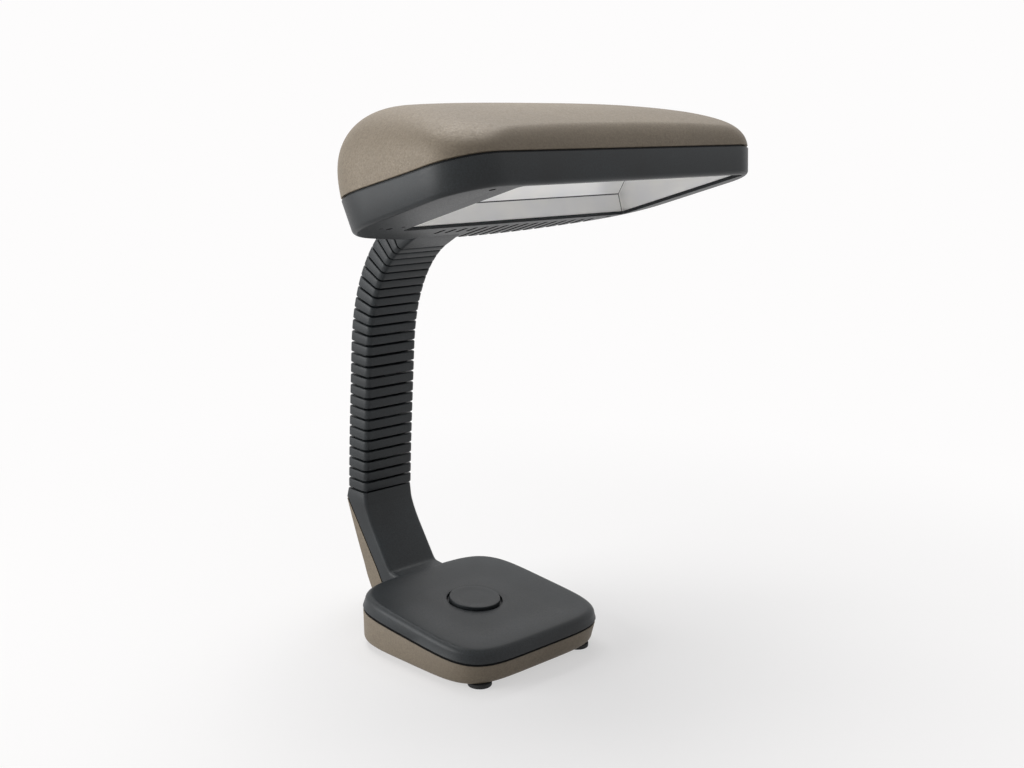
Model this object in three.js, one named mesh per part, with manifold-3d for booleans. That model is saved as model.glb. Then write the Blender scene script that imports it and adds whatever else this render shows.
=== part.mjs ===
// Desk lamp with a ribbed flexible neck and a wide reflector head, in millimetres.
// +Z is up, the front of the lamp looks along -Y, and the long side of the head lies along X.
// The origin of the finished group is the middle of its lowest plane, where the feet stand.
// The base is a wedge: its seam and top fall towards the front by baseSlope. Everything is drawn
// square to that top, with the middle of the push button over the origin, and the finished group
// is then turned so that the feet stand level.
import * as THREE from 'three';
import { mergeVertices } from 'three/addons/utils/BufferGeometryUtils.js';
import Module from 'manifold-3d';

const wasm = await Module();
wasm.setup();

// Shared clearances
const seatGap = 0.3;
const seamGap = 0.6;
const overrun = 1;
const weldDistance = 1e-4;
const chamferStartShare = 0.33;

// Facets round turned pieces: the button and its hole, middling rounds, and small holes
const wideSteps = 40;
const middleSteps = 20;
const smallSteps = 12;

// Base: a bowed square wedge in two shells, on four rubber feet
const baseSlope = 5.5;
const baseWidth = 150;
const baseDepth = 146;
const baseRoundness = 5.2;
const baseForward = 6.5;
const baseTop = 31.4;
const baseSeam = 19.2;
const baseWall = 2.5;
const baseSideLean = 1.8;
const baseEdgeRound = 3;
const baseEdgeSteps = 3;
const dishDepth = 1.8;
const dishRun = 34;
const dishSteps = 3;
const baseDraft = 1.2;
const baseBottomRound = 4.5;
const baseLip = 1.2;
const baseLipHeight = 1.6;
const baseSideSteps = 12;
const baseRear = baseDepth / 2 - baseForward;
const footHeight = 4.5;
const footRadius = 9;
const footTaper = 1;
const footStudRadius = 3;
const footStudLength = 2;
const footInsetX = 25.2;
const footInsetY = 16;

// Push button and the switch under it
const buttonRadius = 20;
const buttonGap = 2;
const buttonProud = 1.2;
const buttonFlange = 2.5;
const buttonFlangeThickness = 1.6;
const buttonCrown = 0.7;
const buttonTravel = 3;
const pinRadius = 3;
const pinReach = 1.4;
const switchWidth = 26;
const switchDepth = 20;
const switchHeight = 12;
const padMargin = 1;
const padRise = 0.5;

// Base contents
const weightInset = 25;
const weightWidth = baseWidth - 2 * weightInset;
const weightDepth = baseDepth - 2 * weightInset;
const weightThickness = 6;
const weightHoleRadius = 19;
const weightForward = 14;
const boardInset = 33;
const boardWidth = baseWidth - 2 * boardInset;
const boardDepth = 24;
const boardThickness = 1.6;
const boardSetback = 19;
const boardRear = baseRear - boardSetback;
const boardShift = 8;
const chokeShare = -0.17;
const capacitorShare = 0.25;
const standoffRadius = 2.5;
const standoffHeight = 1.8;
const chokeSize = [28, 18, 15];
const capacitorRadius = 4;
const capacitorLength = 18;
const terminalSize = [12, 14, 8];
const glandInset = 25;
const glandX = glandInset - baseWidth / 2;
const glandHeight = 11;
const glandRadius = 4;
const glandFlange = 1.4;
const glandBore = 2.4;
const glandLength = 9;
const screwRadius = 1.3;
const screwHeadRadius = 3;
const screwHeadHeight = 1.6;
const screwThread = 8;
const bossWall = 1.8;
const baseScrewInsetX = 13;
const baseScrewInsetY = 45;
const baseScrewX = baseWidth / 2 - baseScrewInsetX;
const baseScrewY = baseDepth / 2 - baseScrewInsetY;

// Stem: rises from the rear edge of the base and ends at the lowest groove of the neck
const stemFootOverlap = 4.5;
const stemHeelBehind = 21.1;
const stemBackBehind = 69.3;
const stemFootFront = baseRear - stemFootOverlap;
const stemHeel = baseRear + stemHeelBehind;
const stemBack = baseRear + stemBackBehind;
const stemShoulder = 10.6;
const stemSweepShares = [0.905, 0.43];
const stemSweepSteps = 8;
const stemRound = 3.5;
const partTopDepth = 3.8;
const partFootDepth = 16.5;
const stemWall = 2.5;

// Neck: ribs that rock on knuckles, one between each two grooves
const neckWidth = 47;
const neckDepth = 24;
const neckCorner = 4;
const neckCornerSteps = 2;
const ribCount = 26;
const ribPitch = 8.8;
const grooveWidth = 1.2;
const ribEdge = 0.5;
const wedgeShare = 0.75;
const neckBehind = 55.3;
const neckStartHeight = 87.4;
const neckStart = [baseRear + neckBehind, neckStartHeight];
const neckLean = -3.7;
const neckBend = 57.9;
const bendStartShare = 0.5;
const bendPower = 1.3;
const knuckleRadius = 5.2;
const knuckleInset = 3;
const knuckleSteps = 12;
const swayEvery = 4;
const anchorLength = 11;
const collarLength = 34;

// Head: frame, cover, reflector and lamp, in a plane tilted nose-up
const headTilt = 22.5;
const headAhead = 0.8;
const headBelow = 6.6;
const headLeft = -118;
const headRight = 200;
const headFront = -190.5;
const headRearCorner = -51;
const headRearBow = 46;
const headFrontRadius = 32;
const headRearRadius = 26;
const headWall = 2.5;
const frameHeight = 20.2;
const frameDraft = 3.2;
const frameEdge = 2;
const frameEdgeHeight = 3.5;
const frameLip = 1.2;
const frameLipHeight = 2.6;
const coverFront = 37.2;
const coverPeak = 92.5;
const coverDroop = 6;
const coverInsets = { leftFront: 30, leftRear: 80, right: 16, front: 7, rear: 55 };
const coverPower = 2.6;
const roofPower = 2.3;
const droopPower = 3;
const coverSteps = 6;
const crownShares = [0.72, 0.4, 0.08];
const headSideSteps = { front: 6, corner: 5, side: 4, rearCorner: 3, rear: 10 };
const openingLeft = -62;
const openingRight = 180;
const openingFront = -182;
const openingRear = -55;
const openingRadius = 5;
const slotCount = 16;
const slotFirst = -13;
const slotPitch = 10.9;
const slotWidth = 2.4;
const slotSetback = 8;
const slotWrap = 5;
const collarKeepOut = 13;
const ventHoleRadius = 1.4;
const ventHoleAside = 10;
const ventHoleAhead = 3.5;
const headScrewLeft = 36;
const headScrewRight = 34;
const headScrewFront = 14.5;
const headScrewRear = 16;
const headScrewBehind = 5.5;

// Reflector: one folded bright sheet that stands on the margin of the opening
const sheet = 0.8;
const reflectorMargin = 1.4;
const reflectorSkirt = 15;
const reflectorFold = [28, 44];
const reflectorRoofRise = 2;
const lampPassWidth = 40;
const lampPassHeight = 24;

// Twin-tube fluorescent lamp and its holder
const lampY = -118;
const lampZ = 26;
const tubeRadius = 6;
const tubeSpacing = 14.5;
const lampCapLength = 25;
const lampCapDepth = 34;
const lampCapHeight = 20;
const lampNoseLength = 8;
const lampNoseDepth = 20;
const lampNoseHeight = 12;
const lampCapEnd = -55;
const lampEnd = 166;
const bridgeInset = 10;
const bridgeRadius = 3.5;
const holderSize = [20, 40, 34];
const holderRecess = 9;
const holderShoulderShare = 0.7;
const clipLength = 8;
const clipWall = 1.6;
const clipX = 140;
const headTerminalSize = [14, 20, 9];
const headTerminalAside = 22;
const headTerminalBehind = 36;

const degrees = Math.PI / 180;

// Geometry helpers

function solidFrom(geometry) {
  const bare = geometry.index ? geometry.toNonIndexed() : geometry.clone();
  for (const name of ['normal', 'uv']) bare.deleteAttribute(name);
  const merged = mergeVertices(bare, weldDistance);
  const vertProperties = merged.attributes.position.array;
  const triVerts = new Uint32Array(merged.index.array);
  return new wasm.Manifold(new wasm.Mesh({ numProp: 3, vertProperties, triVerts }));
}

function geometryFrom(solid) {
  const mesh = solid.getMesh();
  const geometry = new THREE.BufferGeometry();
  geometry.setAttribute('position', new THREE.Float32BufferAttribute(mesh.vertProperties, 3));
  geometry.setIndex(new THREE.Uint32BufferAttribute(mesh.triVerts, 1));
  geometry.computeVertexNormals();
  return geometry;
}

function box([width, depth, height], [x, y, z]) {
  return solidFrom(new THREE.BoxGeometry(width, depth, height).translate(x, y, z));
}

// A box that stands on height z with its middle over x and y.
function standingBox([width, depth, height], [x, y, z]) {
  return box([width, depth, height], [x, y, z + height / 2]);
}

function cylinderZ(radius, low, high, [x, y], steps = middleSteps) {
  const geometry = new THREE.CylinderGeometry(radius, radius, high - low, steps);
  return solidFrom(geometry.rotateX(Math.PI / 2).translate(x, y, (low + high) / 2));
}

function cylinderX(radius, length, [x, y, z], steps = middleSteps) {
  const geometry = new THREE.CylinderGeometry(radius, radius, length, steps);
  return solidFrom(geometry.rotateZ(Math.PI / 2).translate(x, y, z));
}

function cylinderY(radius, length, [x, y, z], steps = middleSteps) {
  return solidFrom(new THREE.CylinderGeometry(radius, radius, length, steps).translate(x, y, z));
}

// A turned piece: [radius, height] pairs from the axis round to the axis again.
function turned(profile, steps) {
  const points = profile.map(([radius, height]) => new THREE.Vector2(radius, height));
  return new THREE.LatheGeometry(points, steps).rotateX(Math.PI / 2);
}

// Joins rings of equal count into one closed skin; each ring runs anticlockwise seen from above.
function loft(rings) {
  const count = rings[0].length;
  const corners = rings.flat().flatMap((point) => point.toArray());
  const faces = [];
  for (let ring = 0; ring + 1 < rings.length; ring += 1) {
    for (let step = 0; step < count; step += 1) {
      const here = ring * count + step;
      const next = ring * count + ((step + 1) % count);
      faces.push(here, next, next + count, here, next + count, here + count);
    }
  }
  const last = (rings.length - 1) * count;
  for (let step = 1; step + 1 < count; step += 1) {
    faces.push(0, step + 1, step, last, last + step, last + step + 1);
  }
  const geometry = new THREE.BufferGeometry();
  geometry.setAttribute('position', new THREE.Float32BufferAttribute(corners, 3));
  geometry.setIndex(faces);
  return solidFrom(geometry);
}

function level(outline, z) {
  return outline.map((point) => new THREE.Vector3(point.x, point.y, z));
}

function roundedRectangle(width, depth, radius, steps) {
  const points = [];
  for (let corner = 0; corner < 4; corner += 1) {
    const right = corner === 0 || corner === 3 ? 1 : -1;
    const back = corner < 2 ? 1 : -1;
    for (let step = 0; step <= steps; step += 1) {
      const angle = ((corner + step / steps) * Math.PI) / 2;
      const x = right * (width / 2 - radius) + radius * Math.cos(angle);
      const y = back * (depth / 2 - radius) + radius * Math.sin(angle);
      points.push(new THREE.Vector2(x, y));
    }
  }
  return points;
}

function prism(outline, low, high) {
  return loft([level(outline, low), level(outline, high)]);
}

// Extrudes an outline of [y, z] corners across X; a round above zero softens both side edges.
function acrossX(outline, width, round = 0) {
  const shape = new THREE.Shape(outline.map(([y, z]) => new THREE.Vector2(y, z)));
  const geometry = new THREE.ExtrudeGeometry(shape, {
    depth: width - 2 * round,
    bevelEnabled: round > 0,
    bevelThickness: round,
    bevelSize: round,
    bevelOffset: -round,
    bevelSegments: 3,
  });
  geometry.translate(0, 0, round - width / 2);
  return solidFrom(geometry.rotateX(Math.PI / 2).rotateZ(Math.PI / 2));
}

const meshes = new THREE.Group();

function finish(color, roughness, metalness = 0) {
  return new THREE.MeshStandardMaterial({ color, roughness, metalness });
}

function addMesh(parent, name, solid, material) {
  const mesh = new THREE.Mesh(geometryFrom(solid), material.clone());
  mesh.name = name;
  parent.add(mesh);
  return mesh;
}

const charcoal = finish('#3d4145', 0.55);
const bronze = finish('#8b8075', 0.42, 0.35);
const rubber = finish('#1b1b1c', 0.9);
const steel = finish('#9a9da0', 0.4, 0.9);
const bright = finish('#d9dbdc', 0.18, 0.95);
const whitePlastic = finish('#e4e2dc', 0.5);
const board = finish('#3c6b4a', 0.6);
const glass = finish('#f4f6f6', 0.2);

// Base

function baseOutline(inset) {
  const halfWidth = baseWidth / 2 - inset;
  const halfDepth = baseDepth / 2 - inset;
  const count = 4 * baseSideSteps;
  const points = [];
  for (let step = 0; step < count; step += 1) {
    const angle = (step / count) * 2 * Math.PI;
    const across = Math.sign(Math.cos(angle)) * Math.abs(Math.cos(angle)) ** (2 / baseRoundness);
    const along = Math.sign(Math.sin(angle)) * Math.abs(Math.sin(angle)) ** (2 / baseRoundness);
    points.push(new THREE.Vector2(halfWidth * across, halfDepth * along - baseForward));
  }
  return points;
}

function baseRings(pairs) {
  return loft(pairs.map(([inset, z]) => level(baseOutline(inset), z)));
}

// Heights of the pan's underside and floor over the table, and of the top shell's parts.
const panBottom = footHeight + seatGap;
const panFloor = panBottom + baseWall;
const dishFloor = baseTop - dishDepth;
const topCeiling = dishFloor - baseWall;
const topEdge = baseSeam + seamGap;
const frontFootY = footInsetY - baseDepth / 2 - baseForward;

// Height of the table under the sloping base, at y.
function tableAt(y) {
  return (frontFootY - y) * Math.tan(baseSlope * degrees);
}

// An outline at an even height over the table.
function overTable(outline, height) {
  return outline.map(({ x, y }) => new THREE.Vector3(x, y, tableAt(y) + height));
}

// The rear line of the stem, at height z.
function stemRearAt(z) {
  const heelZ = tableAt(stemHeel) + panBottom;
  const shoulderZ = neckStart[1] - stemShoulder;
  return stemHeel + ((stemBack - stemHeel) * (z - heelZ)) / (shoulderZ - heelZ);
}

// Height of the stem's top at y; it lies along the lowest groove, which leans with the neck.
function stemTopAt(y) {
  return neckStart[1] - grooveWidth / 2 + (y - neckStart[0]) * Math.tan(neckLean * degrees);
}

// Side profile of the stem, from the top front corner down the front and up the back. A profile
// with a wall is for the hollow, which runs out through the top.
function stemProfile(wall) {
  const [neckY, neckZ] = neckStart;
  const [acrossShare, upShare] = stemSweepShares;
  const frontY = neckY - neckDepth / 2;
  const rearY = neckY + neckDepth / 2;
  const mouth = wall > 0 ? overrun : 0;
  const sweep = new THREE.QuadraticBezierCurve(
    new THREE.Vector2(frontY, stemTopAt(frontY)),
    new THREE.Vector2(neckY * acrossShare - wall / 2, neckZ * upShare + baseTop / 2),
    new THREE.Vector2(stemFootFront, baseTop),
  );
  const front = sweep.getPoints(stemSweepSteps).map((point) => [point.x + wall, point.y]);
  front[0][1] += mouth;
  const foot = stemFootFront - baseWall;
  const heelZ = tableAt(stemHeel) + panBottom + wall;
  const back = [
    [foot, baseTop - baseWall],
    [foot, tableAt(foot) + panBottom + wall],
    [stemRearAt(heelZ) - wall, heelZ],
    [stemBack - wall, neckZ - stemShoulder],
    [rearY - wall, stemTopAt(rearY) + mouth],
  ];
  return [...front, ...back];
}

// Region of the stem that belongs to the rear cover: behind the parting line, below the seam.
function rearRegion(mouth) {
  const topY = stemBack - partTopDepth;
  const topZ = neckStart[1] - stemShoulder;
  const footY = stemRearAt(baseSeam) - partFootDepth;
  const far = stemBack + baseDepth;
  return [
    [topY + mouth, topZ + overrun],
    [far, topZ + overrun],
    [far, -far],
    [-far, -far],
    [-far, baseSeam - mouth],
    [footY + mouth, baseSeam - mouth],
  ];
}

const stemOuter = acrossX(stemProfile(0), neckWidth, stemRound);
const stemInner = acrossX(stemProfile(stemWall), neckWidth - 2 * stemWall);
const slack = seamGap / 2;

function screwBoss([x, y], radius, low, high) {
  return cylinderZ(radius + bossWall, low, high, [x, y], smallSteps);
}

const baseScrewPlaces = [-1, 1].flatMap((side) =>
  [-1, 1].map((end) => [side * baseScrewX, end * baseScrewY - baseForward]),
);
const footPlaces = [-1, 1].flatMap((side) =>
  [-1, 1].map((end) => [
    side * (baseWidth / 2 - footInsetX),
    end * (baseDepth / 2 - footInsetY) - baseForward,
  ]),
);

function baseTopShell() {
  const side = [[0, topEdge]];
  for (let step = 0; step <= baseEdgeSteps; step += 1) {
    const angle = (step / baseEdgeSteps) * (Math.PI / 2);
    side.push([
      baseSideLean + baseEdgeRound * (1 - Math.cos(angle)),
      baseTop - baseEdgeRound * (1 - Math.sin(angle)),
    ]);
  }
  for (let step = 1; step <= dishSteps; step += 1) {
    const share = step / dishSteps;
    side.push([
      baseSideLean + baseEdgeRound + dishRun * share,
      baseTop - (dishDepth * (1 - Math.cos(Math.PI * share))) / 2,
    ]);
  }
  const skin = baseRings(side);
  const hollow = baseRings([
    [baseWall, topEdge - overrun],
    [baseWall, baseSeam + baseLipHeight + seatGap],
    [baseWall + baseSideLean, topCeiling],
  ]);
  const far = 4 * baseDepth;
  const above = box([far, far, far], [0, 0, topEdge + far / 2]);
  const behind = acrossX(rearRegion(-slack), neckWidth + 2 * overrun);
  const stem = stemOuter.subtract(behind).intersect(above);
  let shell = skin.add(stem).subtract(hollow).subtract(stemInner);
  shell = shell.subtract(cylinderZ(buttonRadius + buttonGap, 0, baseTop + overrun, [0, 0], wideSteps));
  for (const place of baseScrewPlaces) {
    const pilot = screwRadius + seatGap;
    const low = tableAt(place[1] - pilot - bossWall) + panFloor + seatGap;
    shell = shell.add(screwBoss(place, pilot, low, topCeiling + seatGap));
    const reach = tableAt(place[1]) + panFloor + screwThread + overrun;
    shell = shell.subtract(cylinderZ(pilot, low - overrun, reach, place, smallSteps));
  }
  return shell;
}

function baseBottomShell() {
  const skin = loft([
    overTable(baseOutline(baseBottomRound), panBottom),
    overTable(
      baseOutline(baseBottomRound * chamferStartShare),
      panBottom + baseBottomRound * chamferStartShare,
    ),
    overTable(baseOutline(baseDraft), panBottom + baseBottomRound),
    level(baseOutline(seatGap), baseSeam),
  ]);
  const hollow = loft([
    overTable(baseOutline(baseWall + baseDraft), panFloor),
    level(baseOutline(baseWall + seatGap), baseSeam + overrun),
  ]);
  const lipOutside = baseWall + seatGap;
  const lip = baseRings([
    [lipOutside, baseSeam - baseLipHeight],
    [lipOutside, baseSeam + baseLipHeight],
  ]);
  const lipHollow = baseRings([
    [lipOutside + baseLip, baseSeam - baseLipHeight - overrun],
    [lipOutside + baseLip, baseSeam + baseLipHeight + overrun],
  ]);
  const behind = acrossX(rearRegion(slack), neckWidth + 2 * overrun);
  const stem = stemOuter.intersect(behind);
  const lipGate = box(
    [neckWidth + 2 * seatGap, baseDepth, baseDepth],
    [0, stemFootFront - baseWall - seatGap + baseDepth / 2, baseSeam],
  );
  let shell = skin.add(stem).subtract(hollow).subtract(stemInner);
  shell = shell.add(lip.subtract(lipHollow).subtract(lipGate)).add(switchPad());
  shell = shell.subtract(cylinderY(glandRadius + seatGap, 2 * glandLength, glandPlace(0)));
  for (const [x, y] of footPlaces) {
    const hole = cylinderZ(footStudRadius + seatGap, 0, panFloor + overrun, [0, 0], smallSteps);
    shell = shell.subtract(hole.rotate([-baseSlope, 0, 0]).translate([x, y, tableAt(y)]));
  }
  for (const place of baseScrewPlaces) {
    const table = tableAt(place[1]);
    const reach = table + panFloor + overrun;
    const hole = cylinderZ(screwRadius + seatGap, table, reach, place, smallSteps);
    const recess = table + panBottom + screwHeadHeight / 2;
    shell = shell.subtract(hole).subtract(
      cylinderZ(screwHeadRadius + seatGap, table, recess, place, smallSteps),
    );
  }
  return shell;
}

// The switch stands on a pad that rises from the sloping floor, level with the top.
const padTop = tableAt(-switchDepth / 2 - padMargin) + panFloor + padRise;

function switchPad() {
  const low = tableAt(switchDepth / 2 + padMargin) + panBottom + seatGap;
  const size = [switchWidth + 2 * padMargin, switchDepth + 2 * padMargin, padTop - low];
  return standingBox(size, [0, 0, low]);
}

function foot() {
  const studTop = footHeight + seatGap + footStudLength;
  return solidFrom(turned([
    [0, 0],
    [footRadius - footTaper, 0],
    [footRadius, footTaper],
    [footRadius, footHeight],
    [footStudRadius, footHeight],
    [footStudRadius, studTop],
    [0, studTop],
  ], middleSteps));
}

function screw(length) {
  return solidFrom(turned([
    [0, -screwHeadHeight],
    [screwHeadRadius, -screwHeadHeight],
    [screwHeadRadius, 0],
    [screwRadius, 0],
    [screwRadius, length],
    [0, length],
  ], smallSteps));
}

function powerButton() {
  const top = dishFloor + buttonProud;
  const flangeTop = topCeiling - seatGap;
  const flangeLow = flangeTop - buttonFlangeThickness;
  const reach = switchTop() - pinReach;
  return solidFrom(turned([
    [0, reach],
    [pinRadius, reach],
    [pinRadius, flangeLow],
    [buttonRadius + buttonGap + buttonFlange, flangeLow],
    [buttonRadius + buttonGap + buttonFlange, flangeTop],
    [buttonRadius, flangeTop],
    [buttonRadius, top - buttonCrown],
    [buttonRadius - buttonCrown, top],
    [0, top],
  ], wideSteps));
}

function switchTop() {
  return padTop + seatGap + switchHeight;
}

function switchBody() {
  const body = standingBox([switchWidth, switchDepth, switchHeight], [0, 0, padTop + seatGap]);
  const well = switchTop() - pinReach - buttonTravel - seatGap;
  return body.subtract(cylinderZ(pinRadius + seatGap, well, switchTop() + overrun, [0, 0], smallSteps));
}

// What lies on the floor of the base is drawn on height zero and placed by layOnFloor.
function weightPlate() {
  const plate = standingBox([weightWidth, weightDepth, weightThickness], [0, 0, 0]);
  const hole = [0, weightForward];
  return plate.subtract(cylinderZ(weightHoleRadius, -overrun, weightThickness + overrun, hole));
}

function ballastBoard() {
  const top = standoffHeight + boardThickness - seatGap;
  let made = standingBox([boardWidth, boardDepth, boardThickness], [0, 0, standoffHeight]);
  for (const side of [-1, 1]) {
    const place = [side * (boardWidth / 2 - 2 * standoffRadius), 0];
    made = made.add(cylinderZ(standoffRadius, 0, standoffHeight + seatGap, place, smallSteps));
  }
  made = made.add(standingBox(chokeSize, [boardWidth * chokeShare, 0, top]));
  const lying = [boardWidth * capacitorShare, 0, top + capacitorRadius - seatGap];
  return made.add(cylinderX(capacitorRadius, capacitorLength, lying, smallSteps));
}

function terminalBlock([width, depth, height]) {
  const entry = cylinderY(height / 4, depth + 2 * overrun, [0, 0, height / 2], smallSteps);
  return standingBox([width, depth, height], [0, 0, 0]).subtract(entry);
}

function layOnFloor(mesh, x, y) {
  mesh.rotation.x = -baseSlope * degrees;
  mesh.position.set(x, y, tableAt(y) + panFloor + seatGap);
}

function cordGland() {
  const profile = [
    [glandBore, 0],
    [glandRadius, 0],
    [glandRadius, glandLength],
    [glandRadius + glandFlange, glandLength],
    [glandRadius + glandFlange, glandLength + glandFlange],
    [glandBore, glandLength + glandFlange],
    [glandBore, 0],
  ];
  return solidFrom(turned(profile, middleSteps));
}

// A point on the gland's axis in the rear wall of the base, so far behind the wall's face.
function glandPlace(behind) {
  const share = 1 - Math.abs(glandX / (baseWidth / 2)) ** baseRoundness;
  const wall = (baseDepth / 2) * share ** (1 / baseRoundness) - baseForward;
  return [glandX, wall + behind, tableAt(wall) + panBottom + glandHeight];
}

function addBase(parent) {
  addMesh(parent, 'base_top_shell', baseTopShell(), charcoal);
  addMesh(parent, 'base_bottom_shell', baseBottomShell(), bronze);
  addMesh(parent, 'power_button', powerButton(), charcoal);
  addMesh(parent, 'switch_body', switchBody(), whitePlastic);
  layOnFloor(addMesh(parent, 'weight_plate', weightPlate(), steel), 0, -weightForward);
  layOnFloor(addMesh(parent, 'ballast_board', ballastBoard(), board), boardShift, boardRear);
  const terminal = terminalBlock(terminalSize);
  layOnFloor(addMesh(parent, 'base_terminal_block', terminal, whitePlastic), glandX, boardRear);
  const gland = addMesh(parent, 'cord_gland', cordGland(), rubber);
  gland.rotation.x = -Math.PI / 2;
  gland.position.set(...glandPlace(seatGap - glandLength));
  footPlaces.forEach(([x, y], index) => {
    const made = addMesh(parent, `foot_${index + 1}`, foot(), rubber);
    made.rotation.x = -baseSlope * degrees;
    made.position.set(x, y, tableAt(y));
  });
  baseScrewPlaces.forEach(([x, y], index) => {
    const head = tableAt(y) + panBottom + screwHeadHeight / 2 - seatGap;
    const made = addMesh(parent, `base_screw_${index + 1}`, screw(screwThread), steel);
    made.position.set(x, y, head);
  });
}

// Neck

// Centre and lean of each groove; the neck runs straight, then bends forward more and more.
function neckStations() {
  const leans = [];
  for (let groove = 0; groove <= ribCount; groove += 1) {
    const along = Math.max(0, groove / ribCount - bendStartShare) / (1 - bendStartShare);
    leans.push((neckLean + neckBend * along ** bendPower) * degrees);
  }
  const stations = [];
  let [y, z] = neckStart;
  for (let groove = 0; groove <= ribCount; groove += 1) {
    stations.push({ y, z, lean: leans[groove] });
    const heading = (leans[groove] + (leans[groove + 1] ?? leans[groove])) / 2;
    y -= ribPitch * Math.sin(heading);
    z += ribPitch * Math.cos(heading);
  }
  return stations;
}

const stations = neckStations();

// The head's own zero lies a little ahead of the top groove and below it.
const headOrigin = [0, stations[ribCount].y - headAhead, stations[ribCount].z - headBelow];

// A neck section at height z along the local axis, tilted about X so that its rear rises.
function neckRing(z, tilt, inset) {
  const outline = roundedRectangle(
    neckWidth - 2 * inset,
    neckDepth - 2 * inset,
    neckCorner - inset,
    neckCornerSteps,
  );
  return outline.map((point) => new THREE.Vector3(point.x, point.y, z + point.y * Math.tan(tilt)));
}

// Grooves that rock sideways have their knuckle along Y, the others along X.
function sways(groove) {
  return groove % swayEvery === swayEvery - 1;
}

// A bar across the middle of a groove, at height z and turned with the groove by tilt.
function grooveBar(groove, z, tilt, clearance) {
  const radius = knuckleRadius + clearance;
  const middle = [0, 0, 0];
  const bar = sways(groove)
    ? cylinderY(radius, neckDepth - 2 * (knuckleInset - clearance), middle, knuckleSteps)
    : cylinderX(radius, neckWidth - 2 * (knuckleInset - clearance), middle, knuckleSteps);
  return bar.rotate([tilt / degrees, 0, 0]).translate([0, 0, z]);
}

function knuckle(groove, z, tilt) {
  return grooveBar(groove, z, tilt, 0);
}

function knuckleSeat(groove, z, tilt) {
  return grooveBar(groove, z, tilt, seatGap);
}

// The rib between groove index and the next: a wedge with softened edges, a knuckle and a seat.
function neckRib(index) {
  const half = ribPitch / 2;
  const bend = stations[index + 1].lean - stations[index].lean;
  const tilt = (bend / 2) * wedgeShare;
  const low = grooveWidth / 2 - half;
  const high = half - grooveWidth / 2;
  const body = loft([
    neckRing(low, -tilt, ribEdge),
    neckRing(low + ribEdge, -tilt, 0),
    neckRing(high - ribEdge, tilt, 0),
    neckRing(high, tilt, ribEdge),
  ]);
  return body.add(knuckle(index, -half, -bend / 2)).subtract(knuckleSeat(index + 1, half, bend / 2));
}

function addNeck(parent) {
  for (let index = 0; index < ribCount; index += 1) {
    const here = stations[index];
    const next = stations[index + 1];
    const label = String(index + 1).padStart(2, '0');
    const rib = addMesh(parent, `neck_rib_${label}`, neckRib(index), charcoal);
    rib.rotation.x = (here.lean + next.lean) / 2;
    rib.position.set(0, (here.y + next.y) / 2, (here.z + next.z) / 2);
  }
  const anchor = addMesh(parent, 'neck_anchor', neckAnchor(), steel);
  anchor.rotation.x = stations[0].lean;
  anchor.position.set(0, stations[0].y, stations[0].z);
}

// Block inside the top of the stem that carries the seat of the lowest knuckle.
function neckAnchor() {
  const inset = stemWall + seatGap;
  const top = -grooveWidth / 2;
  const block = loft([
    neckRing(top - anchorLength, 0, inset),
    neckRing(top - anchorLength / 2, 0, inset),
    neckRing(top, 0, inset),
  ]);
  return block.subtract(knuckleSeat(0, 0, 0));
}

// Head

const headDepthMiddle = (headFront + headRearCorner + headRearBow) / 2;
const headMiddle = (headLeft + headRight) / 2;

// Plan outline of the head at the seam, anticlockwise from the left end of the front edge.
function headOutline() {
  const front = headFront + headFrontRadius;
  const rear = headRearCorner - headRearRadius;
  const shoulder = headRearCorner + headRearRadius / 2;
  const bowTop = headRearCorner + 2 * headRearBow;
  const point = (x, y) => new THREE.Vector2(x, y);
  const corner = (x, from) => new THREE.EllipseCurve(
    x,
    front,
    headFrontRadius,
    headFrontRadius,
    from,
    from + Math.PI / 2,
  );
  const inLeft = headLeft + headRearRadius;
  const inRight = headRight - headRearRadius;
  const steps = headSideSteps;
  const curves = [
    [new THREE.LineCurve(
      point(headLeft + headFrontRadius, headFront),
      point(headRight - headFrontRadius, headFront),
    ), steps.front],
    [corner(headRight - headFrontRadius, -Math.PI / 2), steps.corner],
    [new THREE.LineCurve(point(headRight, front), point(headRight, rear)), steps.side],
    [new THREE.QuadraticBezierCurve(
      point(headRight, rear),
      point(headRight, headRearCorner),
      point(inRight, shoulder),
    ), steps.rearCorner],
    [new THREE.QuadraticBezierCurve(
      point(inRight, shoulder),
      point(headMiddle, bowTop - headRearRadius / 2),
      point(inLeft, shoulder),
    ), steps.rear],
    [new THREE.QuadraticBezierCurve(
      point(inLeft, shoulder),
      point(headLeft, headRearCorner),
      point(headLeft, rear),
    ), steps.rearCorner],
    [new THREE.LineCurve(point(headLeft, rear), point(headLeft, front)), steps.side],
    [corner(headLeft + headFrontRadius, Math.PI), steps.corner],
  ];
  return curves.flatMap(([curve, count]) => curve.getPoints(count).slice(0, -1));
}

const headPlan = headOutline();

// Cover screws: two at the left end of the head, one behind the right end of the opening.
const headScrews = [
  [headLeft + headScrewLeft, headFront + headScrewFront],
  [headLeft + headScrewLeft, headRearCorner - headScrewRear],
  [headRight - headScrewRight, openingRear + headScrewBehind],
];

// How far y lies from the front of the head to the middle of its bowed rear, from 0 to 1.
function backShare(y) {
  const span = headRearCorner + headRearBow - headFront;
  return Math.min(1, Math.max(0, (y - headFront) / span));
}

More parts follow.
